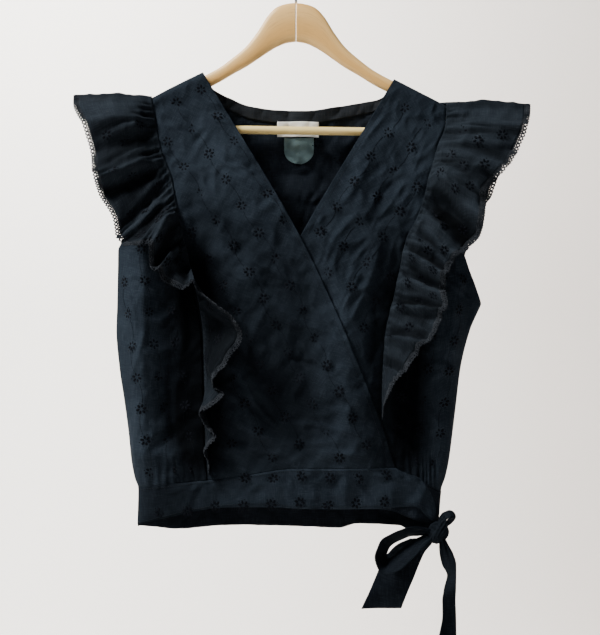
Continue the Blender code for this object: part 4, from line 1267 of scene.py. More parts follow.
def ruffleHigh(ruffle, drop, out):
    # How far the folds stand off; out is 0 at the seam and 1 at the free edge
    # Small gathers at the seam, uneven in pitch and length
    phase = drop / ruffleMake["gatherPitch"] + 0.5 * softNoise(drop, 0 * drop, 21, 17) + 0.25 * out
    reach = ruffleMake["gatherReach"] + ruffleMake["gatherVaries"] * softNoise(drop, 0 * drop, 9, 23)
    pleat = 1 - 2 * np.abs(np.sin(np.pi * phase)) ** 0.8
    high = ruffleMake["gatherHigh"] * pleat * smooth(out / 0.05) * smooth(1 - (out - 0.06) / reach)
    # Larger folds, placed one by one
    for middle, lean, half, peak, start, end in ruffle["folds"]:
        off = (drop - middle - lean * out) / (half * (0.7 + 0.6 * out))
        high = high + peak * np.exp(-off**2) * smooth((out - start) / 0.15) * smooth((end + 0.1 - out) / 0.2)
    # Laps rise slowly to a crest and fall away sharply behind it
    for atSeam, atEdge, length, peak, start, sharp in ruffle["laps"]:
        wander = ruffleMake["lapWander"] * softNoise(out * 60, 0 * drop, 22, 43)
        before = mix(atSeam, atEdge, out) + wander - drop
        rise = np.exp(-np.maximum(before, 0) / length) * smooth(0.5 + before / (2 * sharp))
        high = high + peak * rise * smooth(0.25 + (out - start) / 0.4)
    high = high - valleysAt(ruffle, drop, out)[0]
    # The free edge flutters
    phase = drop / ruffleMake["flutterPitch"] + 0.6 * softNoise(drop, 0 * drop, 19, 29)
    flutter = np.sin(2 * np.pi * phase)
    free = smooth((out - ruffleMake["flutterFrom"]) / 0.45)
    high = high + ruffleMake["flutterHigh"] * flutter * free
    return high * smooth(np.abs(drop) / ruffleMake["shoulderCalm"])


def rufflePoint(ruffle, drop, out):
    rows = ruffle["rows"]
    seam = ruffleSeam(ruffle, drop)
    free = np.stack([read(rows, axis, drop) for axis in "xyz"], -1)
    wide = read(rows, "wide", drop)
    chord = free - seam
    slack = np.sqrt(np.maximum(wide**2 - np.sum(chord**2, axis=-1), 0))
    along = unit(chord)
    outOfBody = np.stack([0 * drop, np.where(drop < 0, 1.0, -1.0), 0 * drop + ruffleMake["lift"]], -1)
    arch = unit(outOfBody - along * np.sum(outOfBody * along, axis=-1, keepdims=True))
    rumple = 0.0 * drop
    for high, downwards, outwards, size, seed in ruffleMake["rumples"]:
        rumple = rumple + high * crumple(drop * downwards, out * outwards, size, seed) * smooth(out / 0.1)
    bow = slack * ruffleMake["bulge"] * np.sin(np.pi * out)
    place = seam + chord * out[..., None] + arch * (bow + ruffleHigh(ruffle, drop, out) + rumple)[..., None]
    puff = ruffleMake["puff"] + ruffleMake["puffVaries"] * softNoise(out * 60, 0 * drop, 13, 67)
    puff = puff * np.sin(np.pi * out) ** 0.7
    place[..., 2] = place[..., 2] + puff * np.exp(-((drop / ruffleMake["puffLong"]) ** 2))
    return place


def rufflePaintedShade(ruffle, drops, outs):
    # Painted shade: the cloth is painted darker where it lies lower than it does a little way up and down,
    # and in the valleys
    high = ruffleHigh(ruffle, drops, outs)
    reach = ruffleMake["paintedShadeReach"]
    padded = np.pad(high, ((reach, reach), (0, 0)), mode="edge")
    around = sum(padded[i:i + len(high)] for i in range(2 * reach + 1)) / (2 * reach + 1)
    shade = valleysAt(ruffle, drops, outs)[1]
    return np.maximum(hollowAt(high - around, ruffleMake["paintedShadeDeep"], 0.2), shade)


def clothEnd(ruffle, drop):
    # The part of the width that is cloth: the lace takes the rest
    seam, edge = rufflePoint(ruffle, drop, 0 * drop), rufflePoint(ruffle, drop, 0 * drop + 1)
    length = np.linalg.norm(edge - seam, axis=-1)
    wide = np.maximum(read(ruffle["rows"], "wide", drop), length)
    return 1 - np.minimum(ruffleMake["laceWide"] / wide, 0.5)


def ruffleGrid(ruffle):
    rows = ruffle["rows"]["at"]
    count = int((rows[-1] - rows[0]) / ruffleMake["rowPitch"])
    drop = np.linspace(rows[0], rows[-1], count)
    turn = np.array(ruffleMake["turnRows"])
    drop = np.sort(np.concatenate([drop[np.abs(drop) > turn[-1] + 1], -turn[::-1], [0.0], turn]))
    levels = np.linspace(0, 1, ruffleMake["columns"]) ** ruffleMake["crowding"]
    drops = np.repeat(drop[:, None], len(levels), axis=1)
    outs = clothEnd(ruffle, drop)[:, None] * levels[None, :]
    return drops, outs, rufflePoint(ruffle, drops, outs)


def laceFrame(grid):
    # Along the free edge: each point, and the way out past the cloth
    free = grid[:, -1]
    along = unit(np.gradient(free, axis=0))
    fall = free - grid[:, -3]
    out = unit(fall - along * np.sum(fall * along, axis=-1, keepdims=True))
    for _ in range(ruffleMake["laceSmoothing"]):
        before = np.concatenate([out[:1], out[:-1]])
        after = np.concatenate([out[1:], out[-1:]])
        out = unit(before + 2 * out + after)
    return free, out


def evenly(free, out, pitch, inset):
    # Points an even step apart on the line that runs inset millimetres outside the edge
    line = free + out * inset
    length = lengthsOf(line)
    stops = np.arange(pitch / 2, length[-1] - pitch / 4, pitch)
    spot = atStops(stops, length, line)
    return spot, unit(atStops(stops, length, out)), unit(np.gradient(spot, axis=0))


lace = {
    "ringRadius": 1.75,
    "ringThread": 0.93,
    "smallRadius": 0.95,
    "smallThread": 0.66,
    "picotRadius": 0.62,
    # pitch of each row and how far outside the cloth's edge it runs
    "rings": (4.6, 4.9),
    "small": (2.9, 2.1),
    "picots": (4.6, 6.9),
    "tapeWide": 1.5,
    "tapeWall": 0.6,
}
ringNodes = ringTree("lace_ring", laceThread, lace["ringRadius"] * mm, lace["ringThread"] * mm)
smallRingNodes = ringTree(
    "lace_small_ring", laceThread, lace["smallRadius"] * mm, lace["smallThread"] * mm, sides=8
)


def laceRow(row, free, out, nodes, sizes=None):
    spot, way, run = evenly(free, out, *lace[row])
    return grown(row, pointsMesh(row, spot, np.cross(run, way), run), nodes, sizes)


def laceTape(free, out):
    edges = np.stack([free - out * ruffleMake["tapeUnder"], free + out * lace["tapeWide"]], 1)
    tape = newObject("tape", gridMesh("tape", edges))
    wall = tape.modifiers.new("wall", "SOLIDIFY")
    wall.thickness = lace["tapeWall"] * mm
    wall.offset = 0.0
    thick = plainMesh(tape)
    tape.modifiers.remove(wall)
    tape.data = thick
    return tape


def joined(name, items, material):
    # One piece from several plain meshes
    shape = bmesh.new()
    for item in items:
        shape.from_mesh(item.data)
        bpy.data.objects.remove(item, do_unlink=True)
    mesh = bpy.data.meshes.new(name)
    shape.to_mesh(mesh)
    shape.free()
    mesh.materials.append(material)
    return newObject(name, mesh)


for side, ruffle in (("left", ruffleLeft), ("right", ruffleRight)):
    drops, outs, grid = ruffleGrid(ruffle)
    uv = np.stack([drops * ruffleMake["fullness"], -outs * read(ruffle["rows"], "wide", drops)], -1) * mm
    name = "ruffle_" + side
    paintedShade = rufflePaintedShade(ruffle, drops, outs)
    mesh = gridMesh(name + "_cloth", grid, uv, flip=ruffle["sign"] > 0, paintedShade=paintedShade)
    item = addPiece(name + "_cloth", mesh, ruffleShadedCotton, ruffleMake["wall"], [name])
    free, out = laceFrame(grid)
    rings = laceRow("rings", free, out, ringNodes)
    small = laceRow("small", free, out, smallRingNodes)
    picots = laceRow("picots", free, out, smallRingNodes, {"Ring radius": lace["picotRadius"] * mm})
    trim = joined("lace_" + side + "_trim", [rings, small, picots, laceTape(free, out)], laceThread)
    keepPiece(trim, ["lace_" + side])
    print("ruffle", side, "made")


# Embroidered sprigs and their stems
sprig = {
    "petals": 6,
    "reach": 4.3,
    "petalLong": 5.3,
    "petalWide": 3.3,
    "petalHigh": 0.5,
    "lift": 0.35,
    "stem": 0.26,
    "stemBow": 4.0,
    "lowFrom": 330,            # below this the columns turn to their lower slant
    "lowReach": 220,
    "lowShare": 0.55,
    "neckGap": 24,             # kept free below the back neck and below the shoulders
    "shoulderGap": 10,
    "ruffleFrom": -150,        # down the seam of a ruffle
    "ruffleEnd": 90,
    "rufflePitch": 31,
    "probe": 1.2,              # steps by which the ruffle's slope is felt, down and across
    "probeOut": 0.015,
}
flowerNodes = flowerTree(
    "sprig", embroideryThread, sprig["petals"], sprig["reach"] * mm, sprig["petalLong"] * mm,
    sprig["petalWide"] * mm, sprig["petalHigh"] * mm,
)
stemNodes = threadTree("stem", embroideryThread, sprig["stem"] * mm, 4)

# Half-drop rows of sprigs: first sprig, step down a column high up and low down, step to the next
# column, how many columns each way and how many sprigs in one
sprigRows = (
    # over front
    {
        "side": -1, "grow": overGrow, "first": (-117.5, -167.5),
        "down": (20.6, -32.5), "lowDown": (13.5, -33.5), "next": (-31.0, -16.0),
        "columns": (-6, 7), "count": (-3, 17), "top": -165, "bottom": -630,
        "left": lambda z: read(leftSeam, "x", z) + 9, "right": lambda z: read(wrapEdge, "x", z) - 8,
    },
    # left side panel
    {
        "side": -1, "grow": overGrow, "first": (-190.0, -366.0),
        "down": (4.0, -39.0), "lowDown": (6.0, -38.0), "next": (-26.5, -2.0),
        "columns": (-3, 3), "count": (-4, 9), "top": -230, "bottom": -646,
        "left": lambda z: np.where(z > -366, read(leftArmhole, "x", z), read(outline, "left", z)) + 9,
        "right": lambda z: read(leftSeam, "x", z) - 8,
    },
    # under front
    {
        "side": -1, "grow": flatGrow, "first": (135.0, -190.0),
        "down": (-21.0, -31.0), "lowDown": (-14.0, -33.5), "next": (28.0, -18.5),
        "columns": (-6, 7), "count": (-3, 17), "top": -172, "bottom": -625,
        "left": lambda z: np.maximum(read(underEdge, "x", z), read(wrapEdge, "x", z)) + 8,
        "right": lambda z: read(rightSeam, "x", z) - 9,
    },
    # right side panel
    {
        "side": -1, "grow": flatGrow, "first": (180.0, -400.0),
        "down": (-5.0, -38.0), "lowDown": (-6.0, -38.0), "next": (26.0, -3.0),
        "columns": (-3, 3), "count": (-5, 8), "top": -235, "bottom": -640,
        "left": lambda z: read(rightSeam, "x", z) + 8,
        "right": lambda z: np.where(z > -434, read(rightArmhole, "x", z), read(outline, "right", z)) - 10,
    },
    # back
    {
        "side": 1, "grow": flatGrow, "first": (0.0, -210.0),
        "down": (0.0, -39.0), "lowDown": (0.0, -39.0), "next": (26.5, -19.5),
        "columns": (-9, 10), "count": (-6, 16), "top": -200, "bottom": -640,
        "left": lambda z: np.where(z > -366, -178, read(outline, "left", z)) + 12,
        "right": lambda z: np.where(z > -434, 178, read(outline, "right", z)) - 12,
    },
)


def sprigColumn(rows, column):
    # Down one column: the steps turn a little as the cloth hangs
    x = rows["first"][0] + column * rows["next"][0]
    z = rows["first"][1] + column * rows["next"][1]
    spots = []
    low, high = rows["count"]
    for number in range(low, high):
        here = (x + rows["down"][0] * number, z + rows["down"][1] * number)
        below = -here[1] - sprig["lowFrom"]
        part = float(smooth(below / sprig["lowReach"]))
        slant = (rows["lowDown"][0] - rows["down"][0]) * part
        drift = slant * below / -rows["down"][1] * sprig["lowShare"]
        spots.append((here[0] + drift, here[1]))
    return spots


def keptSpots(rows, spots):
    kept = []
    for x, z in spots:
        spot = np.array(z, float)
        fits = rows["bottom"] < z < rows["top"] and rows["left"](spot) < x < rows["right"](spot)
        if rows["side"] > 0 and fits:
            fits = z < float(backEdge(np.array(x, float))) - sprig["neckGap"]
        elif fits:
            fits = z < float(shoulderLine(x)) - sprig["shoulderGap"]
        kept.append(fits)
    return kept


def stemPoints(start, end, bow, count=9):
    # A shallow curve from one sprig to the next
    part = np.linspace(0.2, 0.8, count)
    x = mix(start[0], end[0], part) + bow * np.sin(np.pi * part)
    return x, mix(start[1], end[1], part)


# Each flower has its place, the way it faces and the way it is turned
flowerPlaces = {"front": [], "back": []}
stemLines = {"front": [], "back": []}
for rows in sprigRows:
    face = "front" if rows["side"] < 0 else "back"
    for column in range(*rows["columns"]):
        spots = sprigColumn(rows, column)
        fits = keptSpots(rows, spots)
        for number, (spot, fit) in enumerate(zip(spots, fits)):
            if not fit:
                continue
            x, z = np.array([spot[0]]), np.array([spot[1]])
            here, normal, down = surfaceAt(x, z, rows["side"], rows["grow"])
            turned = down + 0.5 * math.sin(3.1 * number + column) * np.cross(normal, down)
            flowerPlaces[face].append(((here + normal * sprig["lift"])[0], normal[0], turned[0]))
            if number + 1 < len(spots) and fits[number + 1]:
                bow = sprig["stemBow"] * (1 if (number + column) % 2 else -1)
                x, z = stemPoints(spot, spots[number + 1], bow)
                here, normal, down = surfaceAt(x, z, rows["side"], rows["grow"])
                stemLines[face].append(here + normal * (sprig["lift"] + 0.1))


bandSprig = {
    "pitch": 34.5,
    "rows": ((-646.5, -62, 112), (-678.5, -168, 140)),  # height, first and last place
    "lift": 0.85,
    "fall": 14,                # the band falls by this towards its left end
    "fallFrom": 200,
    "fallLong": 170,
}


def bandSprigs():
    # Two rows on the front of the waistband
    for rowZ, start, end in bandSprig["rows"]:
        x = np.arange(start, end, bandSprig["pitch"])
        fall = bandSprig["fall"] * (1 - smooth((x + bandSprig["fallFrom"]) / bandSprig["fallLong"]))
        z = rowZ - fall + 2 * np.sin(x * 0.3)
        grow = overGrow(x) + panels["bandThick"] * 0.5
        here = bodyPoint(angleAt(x, z, grow), z, -1, grow)
        way, run = np.array([0.0, -1.0, 0.0]), np.array([0.3, 0.0, -1.0])
        flowerPlaces["front"] += [(spot + way * bandSprig["lift"], way, run) for spot in here]


bandSprigs()


def ruffleSprigs(ruffle, drops, outs):
    here = rufflePoint(ruffle, drops, outs)
    step, part = sprig["probe"], sprig["probeOut"]
    down = unit(rufflePoint(ruffle, drops + step, outs) - rufflePoint(ruffle, drops - step, outs))
    across = unit(rufflePoint(ruffle, drops, outs + part) - rufflePoint(ruffle, drops, outs - part))
    normal = unit(np.cross(down, across))
    return here, normal * np.sign(-normal[:, 1:2] + 1e-6), down


ruffleFlowers = {}
for side, ruffle in (("left", ruffleLeft), ("right", ruffleRight)):
    last = ruffle["rows"]["at"][-1] - sprig["ruffleEnd"]
    wanted = [
        (drop + (11 if ring % 2 else 0), 0.24 + 0.25 * ring)
        for drop in np.arange(sprig["ruffleFrom"], last, sprig["rufflePitch"]) for ring in range(3)
        if abs(drop) > 6 and read(ruffle["rows"], "wide", drop) * 0.25 > 9 + 3 * ring
    ]
    drops, outs = (np.array(values) for values in zip(*wanted))
    here, normal, down = ruffleSprigs(ruffle, drops, outs)
    back = drops < 0
    normal = np.where(back[:, None] & (normal[:, 1:2] < 0), -normal, normal)
    ruffleFlowers[side] = (here + normal * sprig["lift"], normal, down)

for face in ("front", "back"):
    spots, ways, runs = (np.array(values) for values in zip(*flowerPlaces[face]))
    flowers = grown("flowers", pointsMesh("sprigs", spots, ways, runs), flowerNodes)
    points, edges = [], []
    for line in stemLines[face]:
        edges += [(len(points) + i, len(points) + i + 1) for i in range(len(line) - 1)]
        points += (line * mm).tolist()
    mesh = bpy.data.meshes.new("stems")
    mesh.from_pydata(points, edges, [])
    stems = grown("stems", mesh, stemNodes)
    keepPiece(joined("embroidery_" + face, [flowers, stems], embroideryThread))
for side in ("left", "right"):
    spots, ways, runs = ruffleFlowers[side]
    item = grown("embroidery_ruffle_" + side, pointsMesh("sprigs", spots, ways, runs), flowerNodes)
    keepPiece(item)
print("embroidery made")


# Hanger
hanger = {
    "thick": 11.0,
    "round": 2.6,              # power of the rounded section
    "sides": 28,
    "tip": 0.35,               # thickness left at the very tip of an arm
    "tipAt": 224.5,
    "tipLong": 6,
    "grainLong": 370,          # the second half is cut from further along the plank
    "barRadius": 5.2,
    "barSides": 24,
    "barGrain": 900,
    "barAt": -216.9,
    "barHalf": 191.7,
    "top": chart(
        "out z",
        (0.2, -57.5), (6, -57.7), (12, -58.7), (18, -60.3), (24, -63), (34, -72.5), (48.5, -95),
        (62, -112.5), (78, -126.5), (98, -141.2), (150, -167.2), (192, -188.2), (206, -196.4),
        (216, -204), (223, -216),
    ),
    "under": chart(
        "out z",
        (0.2, -106), (12, -108), (24, -113), (34, -119), (48.5, -129), (62, -138), (78, -147),
        (98, -159), (120, -170), (150, -186), (180, -202), (192, -209.5), (200, -224), (206, -230),
        (216, -230), (223, -226),
    ),
}


def tubeMesh(name, rings, mapName, lengths):
    # A closed skin through the rings, with its map running along and round
    count, sides = rings.shape[:2]
    faces = []
    for i in range(count - 1):
        for j in range(sides):
            k = (j + 1) % sides
            faces.append((i * sides + j, i * sides + k, (i + 1) * sides + k, (i + 1) * sides + j))
    faces.append(tuple(range(sides - 1, -1, -1)))
    faces.append(tuple((count - 1) * sides + j for j in range(sides)))
    mesh = bpy.data.meshes.new(name)
    mesh.from_pydata((rings.reshape(-1, 3) * mm).tolist(), [], faces)
    girth = np.linalg.norm(rings[0, 1] - rings[0, 0]) * sides
    layer = mesh.uv_layers.new(name=mapName)
    for polygon in mesh.polygons:
        wraps = len(polygon.vertices) == 4
        for loop in polygon.loop_indices:
            i, j = divmod(mesh.loops[loop].vertex_index, sides)
            if wraps and j == 0 and any(v % sides == sides - 1 for v in polygon.vertices):
                j = sides
            layer.data[loop].uv = (lengths[i] * mm, girth * j / sides * mm)
    return turnOut(mesh)


def hangerHalf(sign):
    out = np.concatenate([np.linspace(0.2, 60, 44), np.linspace(62, 205, 60), np.linspace(207, 223, 16)])
    top, under = read(hanger["top"], "z", out), read(hanger["under"], "z", out)
    angle = np.linspace(0, 2 * np.pi, hanger["sides"], endpoint=False)
    c, s = np.cos(angle), np.sin(angle)
    power = 2 / hanger["round"]
    ySection = np.sign(s) * np.abs(s) ** power * hanger["thick"] / 2
    zSection = np.sign(c) * np.abs(c) ** power
    ends = smooth((hanger["tipAt"] - out) / hanger["tipLong"]) * (1 - hanger["tip"]) + hanger["tip"]
    rings = np.zeros((len(out), len(angle), 3))
    rings[..., 0] = sign * out[:, None]
    rings[..., 1] = ySection[None, :] * ends[:, None]
    rings[..., 2] = (
        (top + under)[:, None] / 2 + (top - under)[:, None] / 2 * zSection[None, :]
        - body["tilt"] * sign * out[:, None]
    )
    lengths = lengthsOf(np.stack([out, (top + under) / 2], -1)) + (0 if sign < 0 else hanger["grainLong"])
    return rings, lengths


for side, sign in (("left", -1), ("right", 1)):
    rings, lengths = hangerHalf(sign)
    mesh = tubeMesh("hanger_" + side + "_wood", rings, "grain", lengths)
    addPiece("hanger_" + side + "_wood", mesh, beech, None, ["hanger_" + side])

angle = np.linspace(0, 2 * np.pi, hanger["barSides"], endpoint=False)
along = np.linspace(-hanger["barHalf"], hanger["barHalf"], 60)
rings = np.zeros((len(along), len(angle), 3))
rings[..., 0] = along[:, None]
rings[..., 1] = hanger["barRadius"] * np.sin(angle)[None, :]
rings[..., 2] = hanger["barAt"] - body["tilt"] * along[:, None] + hanger["barRadius"] * np.cos(angle)[None, :]
mesh = tubeMesh("hanger_bar_wood", rings, "grain", along + hanger["barGrain"])
addPiece("hanger_bar_wood", mesh, paleBeech, None, ["hanger_bar"])

hook = {
    "radius": 20.0,
    "wire": 1.7,
    "bend": (-25, 226, 6),     # degrees round the hook: from, up to and step
    "stemAt": -46,
    "footAt": -57.6,
    "sides": 14,
}


def sweptRings(points, radius, sides):
    # A round section carried along the points
    points = np.array(points, float)
    runs = unit(np.gradient(points, axis=0))
    up = np.array([0.0, 1.0, 0.0])
    rings = []
    for spot, run, size in zip(points, runs, np.broadcast_to(radius, len(points))):
        across = unit(up - run * np.dot(up, run))
        other = np.cross(run, across)
        turn = np.linspace(0, 2 * np.pi, sides, endpoint=False)[:, None]
        rings.append(spot + size * (np.cos(turn) * across + np.sin(turn) * other))
    return np.array(rings)


middle = hook["radius"] + hook["wire"]
bend = np.radians(np.arange(*hook["bend"]))
wirePoints = [(-middle * math.cos(a), 0, -hook["radius"] + middle * math.sin(a)) for a in bend]
endX, endZ = wirePoints[-1][0], wirePoints[-1][2]
for part in (0.25, 0.5, 0.75, 1.0):
    wirePoints.append((mix(endX, 0, smooth(part)), 0, mix(endZ, hook["stemAt"], part)))
wirePoints += [(0, 0, -50), (0, 0, -54), (0, 0, hook["footAt"])]
wireRadius = np.full(len(wirePoints), hook["wire"])  # the free end is rounded off
wireRadius[0], wireRadius[1] = hook["wire"] * 0.55, hook["wire"] * 0.92
rings = sweptRings(wirePoints, wireRadius, hook["sides"])
mesh = tubeMesh("hanger_hook_steel", rings, "cloth", lengthsOf(np.array(wirePoints)))
addPiece("hanger_hook_steel", mesh, hookSteel, None, ["hanger_hook"])
print("hanger made")


# Neck facing and the two bare labels inside the back
inside = {
    "step": 1.7,
    "facingWall": 0.7,
    "facingCut": (0.245, 0.02, 0.0040),
    "labelWall": 0.5,
    "white": (-24.0, 29.0, -205.0, -224.0),  # left, right, top and foot
    "rounded": (-15.0, 22.5, -224.8, -257.0),
    "roundedCut": (0.0375, 0.0325, 0.00108),
    "straight": 0.5,           # share of the rounded label above its round foot
    "narrowest": 0.16,
}


def insidePatch(x, z, inward):
    return bodyPoint(angleAt(x, z), z, 1, -inward)


across, down = np.meshgrid(np.linspace(0, 1, 150), np.linspace(0, 1, 12))
x = mix(facingHeight["at"][0], facingHeight["at"][-1], across)
z = read(backTop, "z", x) - mix(0.6, 1.0, down) * mix(1.0, read(facingHeight, "tall", x), down)
mesh = gridMesh("neck_facing_cloth", insidePatch(x, z, inside["step"]), flip=True)
item = addPiece("neck_facing_cloth", mesh, facingCotton, inside["facingWall"], ["neck_facing"])

left, right, top, foot = inside["white"]
across, down = np.meshgrid(np.linspace(0, 1, 40), np.linspace(0, 1, 18))
x = mix(left, right, across)
z = mix(top, foot, down) + 0.5 * np.sin(3 * across)
grid = insidePatch(x, z, inside["step"] * 2)
grid[..., 1] -= 0.7 * np.sin(np.pi * down) * (0.6 + 0.4 * np.sin(5 * across))
mesh = gridMesh("label_white_tape", grid, flip=True)
item = addPiece("label_white_tape", mesh, whiteTape, inside["labelWall"], ["label_white"])

left, right, top, foot = inside["rounded"]
across, down = np.meshgrid(np.linspace(0, 1, 40), np.linspace(0, 1, 40))
bulge = np.maximum((down - inside["straight"]) / (1 - inside["straight"]), 0)
narrow = np.maximum(np.sqrt(np.maximum(1 - bulge**2, 0)), inside["narrowest"])
x = (left + right) / 2 + (across - 0.5) * (right - left) * narrow
z = mix(top, foot, down)
grid = insidePatch(x, z, inside["step"])
grid[..., 1] -= 0.9 * smooth(down * 1.4) * (0.7 + 0.3 * np.cos(4 * across))
mesh = gridMesh("label_rounded_tape", grid, flip=True)
item = addPiece("label_rounded_tape", mesh, tealTape, inside["labelWall"], ["label_rounded"])


# Tie at the hip
tie = {
    "wall": 0.9,
    "knotAt": (176.0, -19.9, -715.5),
    "knotRadii": (14.6, 9.8, 14.0),
    "knotRows": 72,
    "knotSides": 96,
    "knotLean": (0.88, 0.0, -0.47),  # the way the outer strand's own axis leans
    "knotCross": (0.47, 0.0, 0.88),
    "knotSwell": 1.06,
    "knotInner": 0.80,         # the drawn-in ends are this much of the strand's size
    "strandHalf": 0.50,
    "strandAt": 0.05,
    "tailRows": 110,
    "tailColumns": 22,
    "loopRows": 120,
    "loopColumns": 16,
    "slant": 0.8,
    "loopPleats": 2.4,
    "tailPleats": 2.6,
    "tailPinched": 42,         # the knot's pleats reach this far down a tail
    "rightTail": chart(
        "z left right y1 y2",
        (-724, 177.8, 184.5, -19.6, -21.2), (-732, 177.2, 188.5, -18.7, -21.5),
        (-742, 178, 194, -16.2, -22.2), (-756, 181, 198, -14.2, -23.2), (-771, 188, 198, -10.2, -21.2),
        (-786, 184, 198, -14.2, -20.2), (-801, 181, 198, -20.2, -14.2), (-818, 181, 198.5, -22.2, -14.2),
        (-847, 176, 199, -21.2, -15.2), (-868, 172, 200, -18.2, -16.2),
    ),
    "leftTail": chart(
        "z left right y1 y2",
        (-724, 142, 173, -17.6, -18.9), (-732, 125, 167, -16.2, -18.2), (-742, 116, 160, -9.2, -13.2),
        (-754, 107, 154, -8.2, -15.2), (-771, 100, 147, -9.2, -15.2), (-791, 91, 139, -12.2, -11.2),
        (-812, 81, 131, -14.2, -10.2),
    ),
    "leftLoop": chart(
        "part x z y wide",
        (0, 166, -715, -20.6, 12), (1, 145, -715, -21.2, 21), (2, 124, -721, -22.2, 24),
        (3, 110, -731, -23.2, 25), (4, 105, -745, -25.2, 25), (5, 110, -758, -27.2, 24),
        (6, 122, -754, -28.2, 24), (7, 137, -742, -27.2, 23), (8, 150, -731, -25.2, 19),
        (9, 166, -721, -21.7, 10),
    ),
    "rightLoop": chart(
        "part x z y wide",
        (0, 179, -704, -19.2, 10), (1, 185, -695.5, -18.7, 12), (2, 191, -694, -19.2, 13),
        (3, 194, -697.5, -20.2, 13), (4, 191, -702, -20.2, 12), (5, 185, -706.5, -19.8, 9),
    ),
}


def tailGrid(table):
    z = np.linspace(table["at"][-1], table["at"][0], tie["tailRows"])[:, None]
    across = np.linspace(0, 1, tie["tailColumns"])[None, :]
    z = z + 0 * across
    x = mix(read(table, "left", z), read(table, "right", z), across)
    belly = 1.6 * np.sin(np.pi * across) * (1 - 2 * smooth((-z - 785) / 20))
    # Pleats pressed in by the knot fade out down the tail
    near = smooth(1 - (table["at"][-1] - z) / tie["tailPinched"])
    pleats = 1.3 * np.sin(2 * np.pi * (tie["tailPleats"] * across + 0.1)) * near
    rumple = 1.1 * softNoise(x, z, 13, 51) * smooth((table["at"][-1] - z) / 14)
    y = mix(read(table, "y1", z), read(table, "y2", z), across) - belly - pleats - rumple
    return np.stack([x, y, z], -1)


def loopGrid(table):
    last = table["at"][-1]
    part = np.linspace(0, last, tie["loopRows"])
    here = np.stack([read(table, axis, part) for axis in "xyz"], -1)
    run = unit(np.gradient(here, axis=0))
    inward = unit(np.cross(run, np.array([0.0, 1.0, 0.0])))
    across = unit(inward * tie["slant"] + np.array([0.0, 1.0, 0.0]))
    levels = np.linspace(-0.5, 0.5, tie["loopColumns"])
    wide = read(table, "wide", part)
    grid = here[:, None] + across[:, None] * (wide[:, None] * levels[None, :])[..., None]
    near = smooth(1 - np.minimum(part, last - part) / 1.6)
    pleats = 0.9 * np.sin(2 * np.pi * tie["loopPleats"] * levels)[None, :] * near[:, None]
    rumple = 0.8 * softNoise(part[:, None] * 14, levels[None, :] * 20, 8, 53)
    normal = unit(np.cross(run, across))
    return grid + normal[:, None] * (pleats + rumple)[..., None]


tieGrids = {
    "tie_right_tail": tailGrid(tie["rightTail"]),
    "tie_left_tail": tailGrid(tie["leftTail"]),
    "tie_left_loop": loopGrid(tie["leftLoop"]),
    "tie_right_loop": loopGrid(tie["rightLoop"]),
}
for name, grid in tieGrids.items():
    item = addPiece(name + "_cloth", gridMesh(name + "_cloth", grid), tieShadedCotton, tie["wall"], [name])


def knotMesh():
    # A pinched knot: one strand wraps over the middle, the rest is drawn into it
    count, sides = tie["knotRows"], tie["knotSides"]
    up = np.linspace(0, np.pi, count)[:, None]
    turn = np.linspace(0, 2 * np.pi, sides, endpoint=False)[None, :]
    way = np.stack(np.broadcast_arrays(np.sin(up) * np.cos(turn), np.sin(up) * np.sin(turn), np.cos(up)), -1)
    off = way @ unit(np.array(tie["knotLean"]))
    strand = smooth((tie["strandHalf"] - np.abs(off - tie["strandAt"])) / 0.12)
    ripple = np.sin(off * 26 + 1.5 * np.sin(3 * turn + way[..., 2]))
    side = np.arctan2(way[..., 1], way @ unit(np.array(tie["knotCross"])))
    drawn = np.sin(side * 9 + 1.2 * np.sin(2 * side))
    size = tie["knotInner"] + (1 - tie["knotInner"]) * strand
    size = size + 0.045 * strand * ripple + 0.07 * (1 - strand) * drawn
    size = size + 0.03 * softNoise(way[..., 0] * 40 + 50, way[..., 2] * 40, 14, 57)
    radii = np.array(tie["knotRadii"])
    points = way * size[..., None] * radii * tie["knotSwell"] + np.array(tie["knotAt"])
    points[0], points[-1] = points[0].mean(axis=0), points[-1].mean(axis=0)
    closed = np.concatenate([points, points[:, :1]], axis=1)
    u = np.broadcast_to(np.linspace(0, 0.075, sides + 1)[None, :], closed.shape[:2])
    v = np.broadcast_to(np.linspace(0, 0.04, count)[:, None], closed.shape[:2])
    return turnOut(gridMesh("tie_knot_cloth", closed, np.stack([u, v], -1)), merge=0.002 * mm)


addPiece("tie_knot_cloth", knotMesh(), tieShadedCotton, None, ["tie_knot"])
print("tie made")


# Stitches along the hems and edges
stitch = {
    "length": 2.2,
    "height": 0.45,
    "thread": 0.2,
    "pitch": 3.0,
    "lift": 0.36,
    "inset": 6.0,              # from the cloth's edge
}
stitchNodes = stitchTree(
    "edge_stitch", seamThread, stitch["length"] * mm, stitch["height"] * mm, stitch["thread"] * mm
)
stitchLines = []


def stitchAlong(points, outward):
    # Even stitches on the cloth's face along a line of points
    length = lengthsOf(points)
    stops = np.arange(stitch["pitch"], length[-1] - stitch["pitch"], stitch["pitch"])
    spot, way = atStops(stops, length, points), unit(atStops(stops, length, outward))
    stitchLines.append((spot + way * stitch["lift"], way, unit(np.gradient(spot, axis=0))))


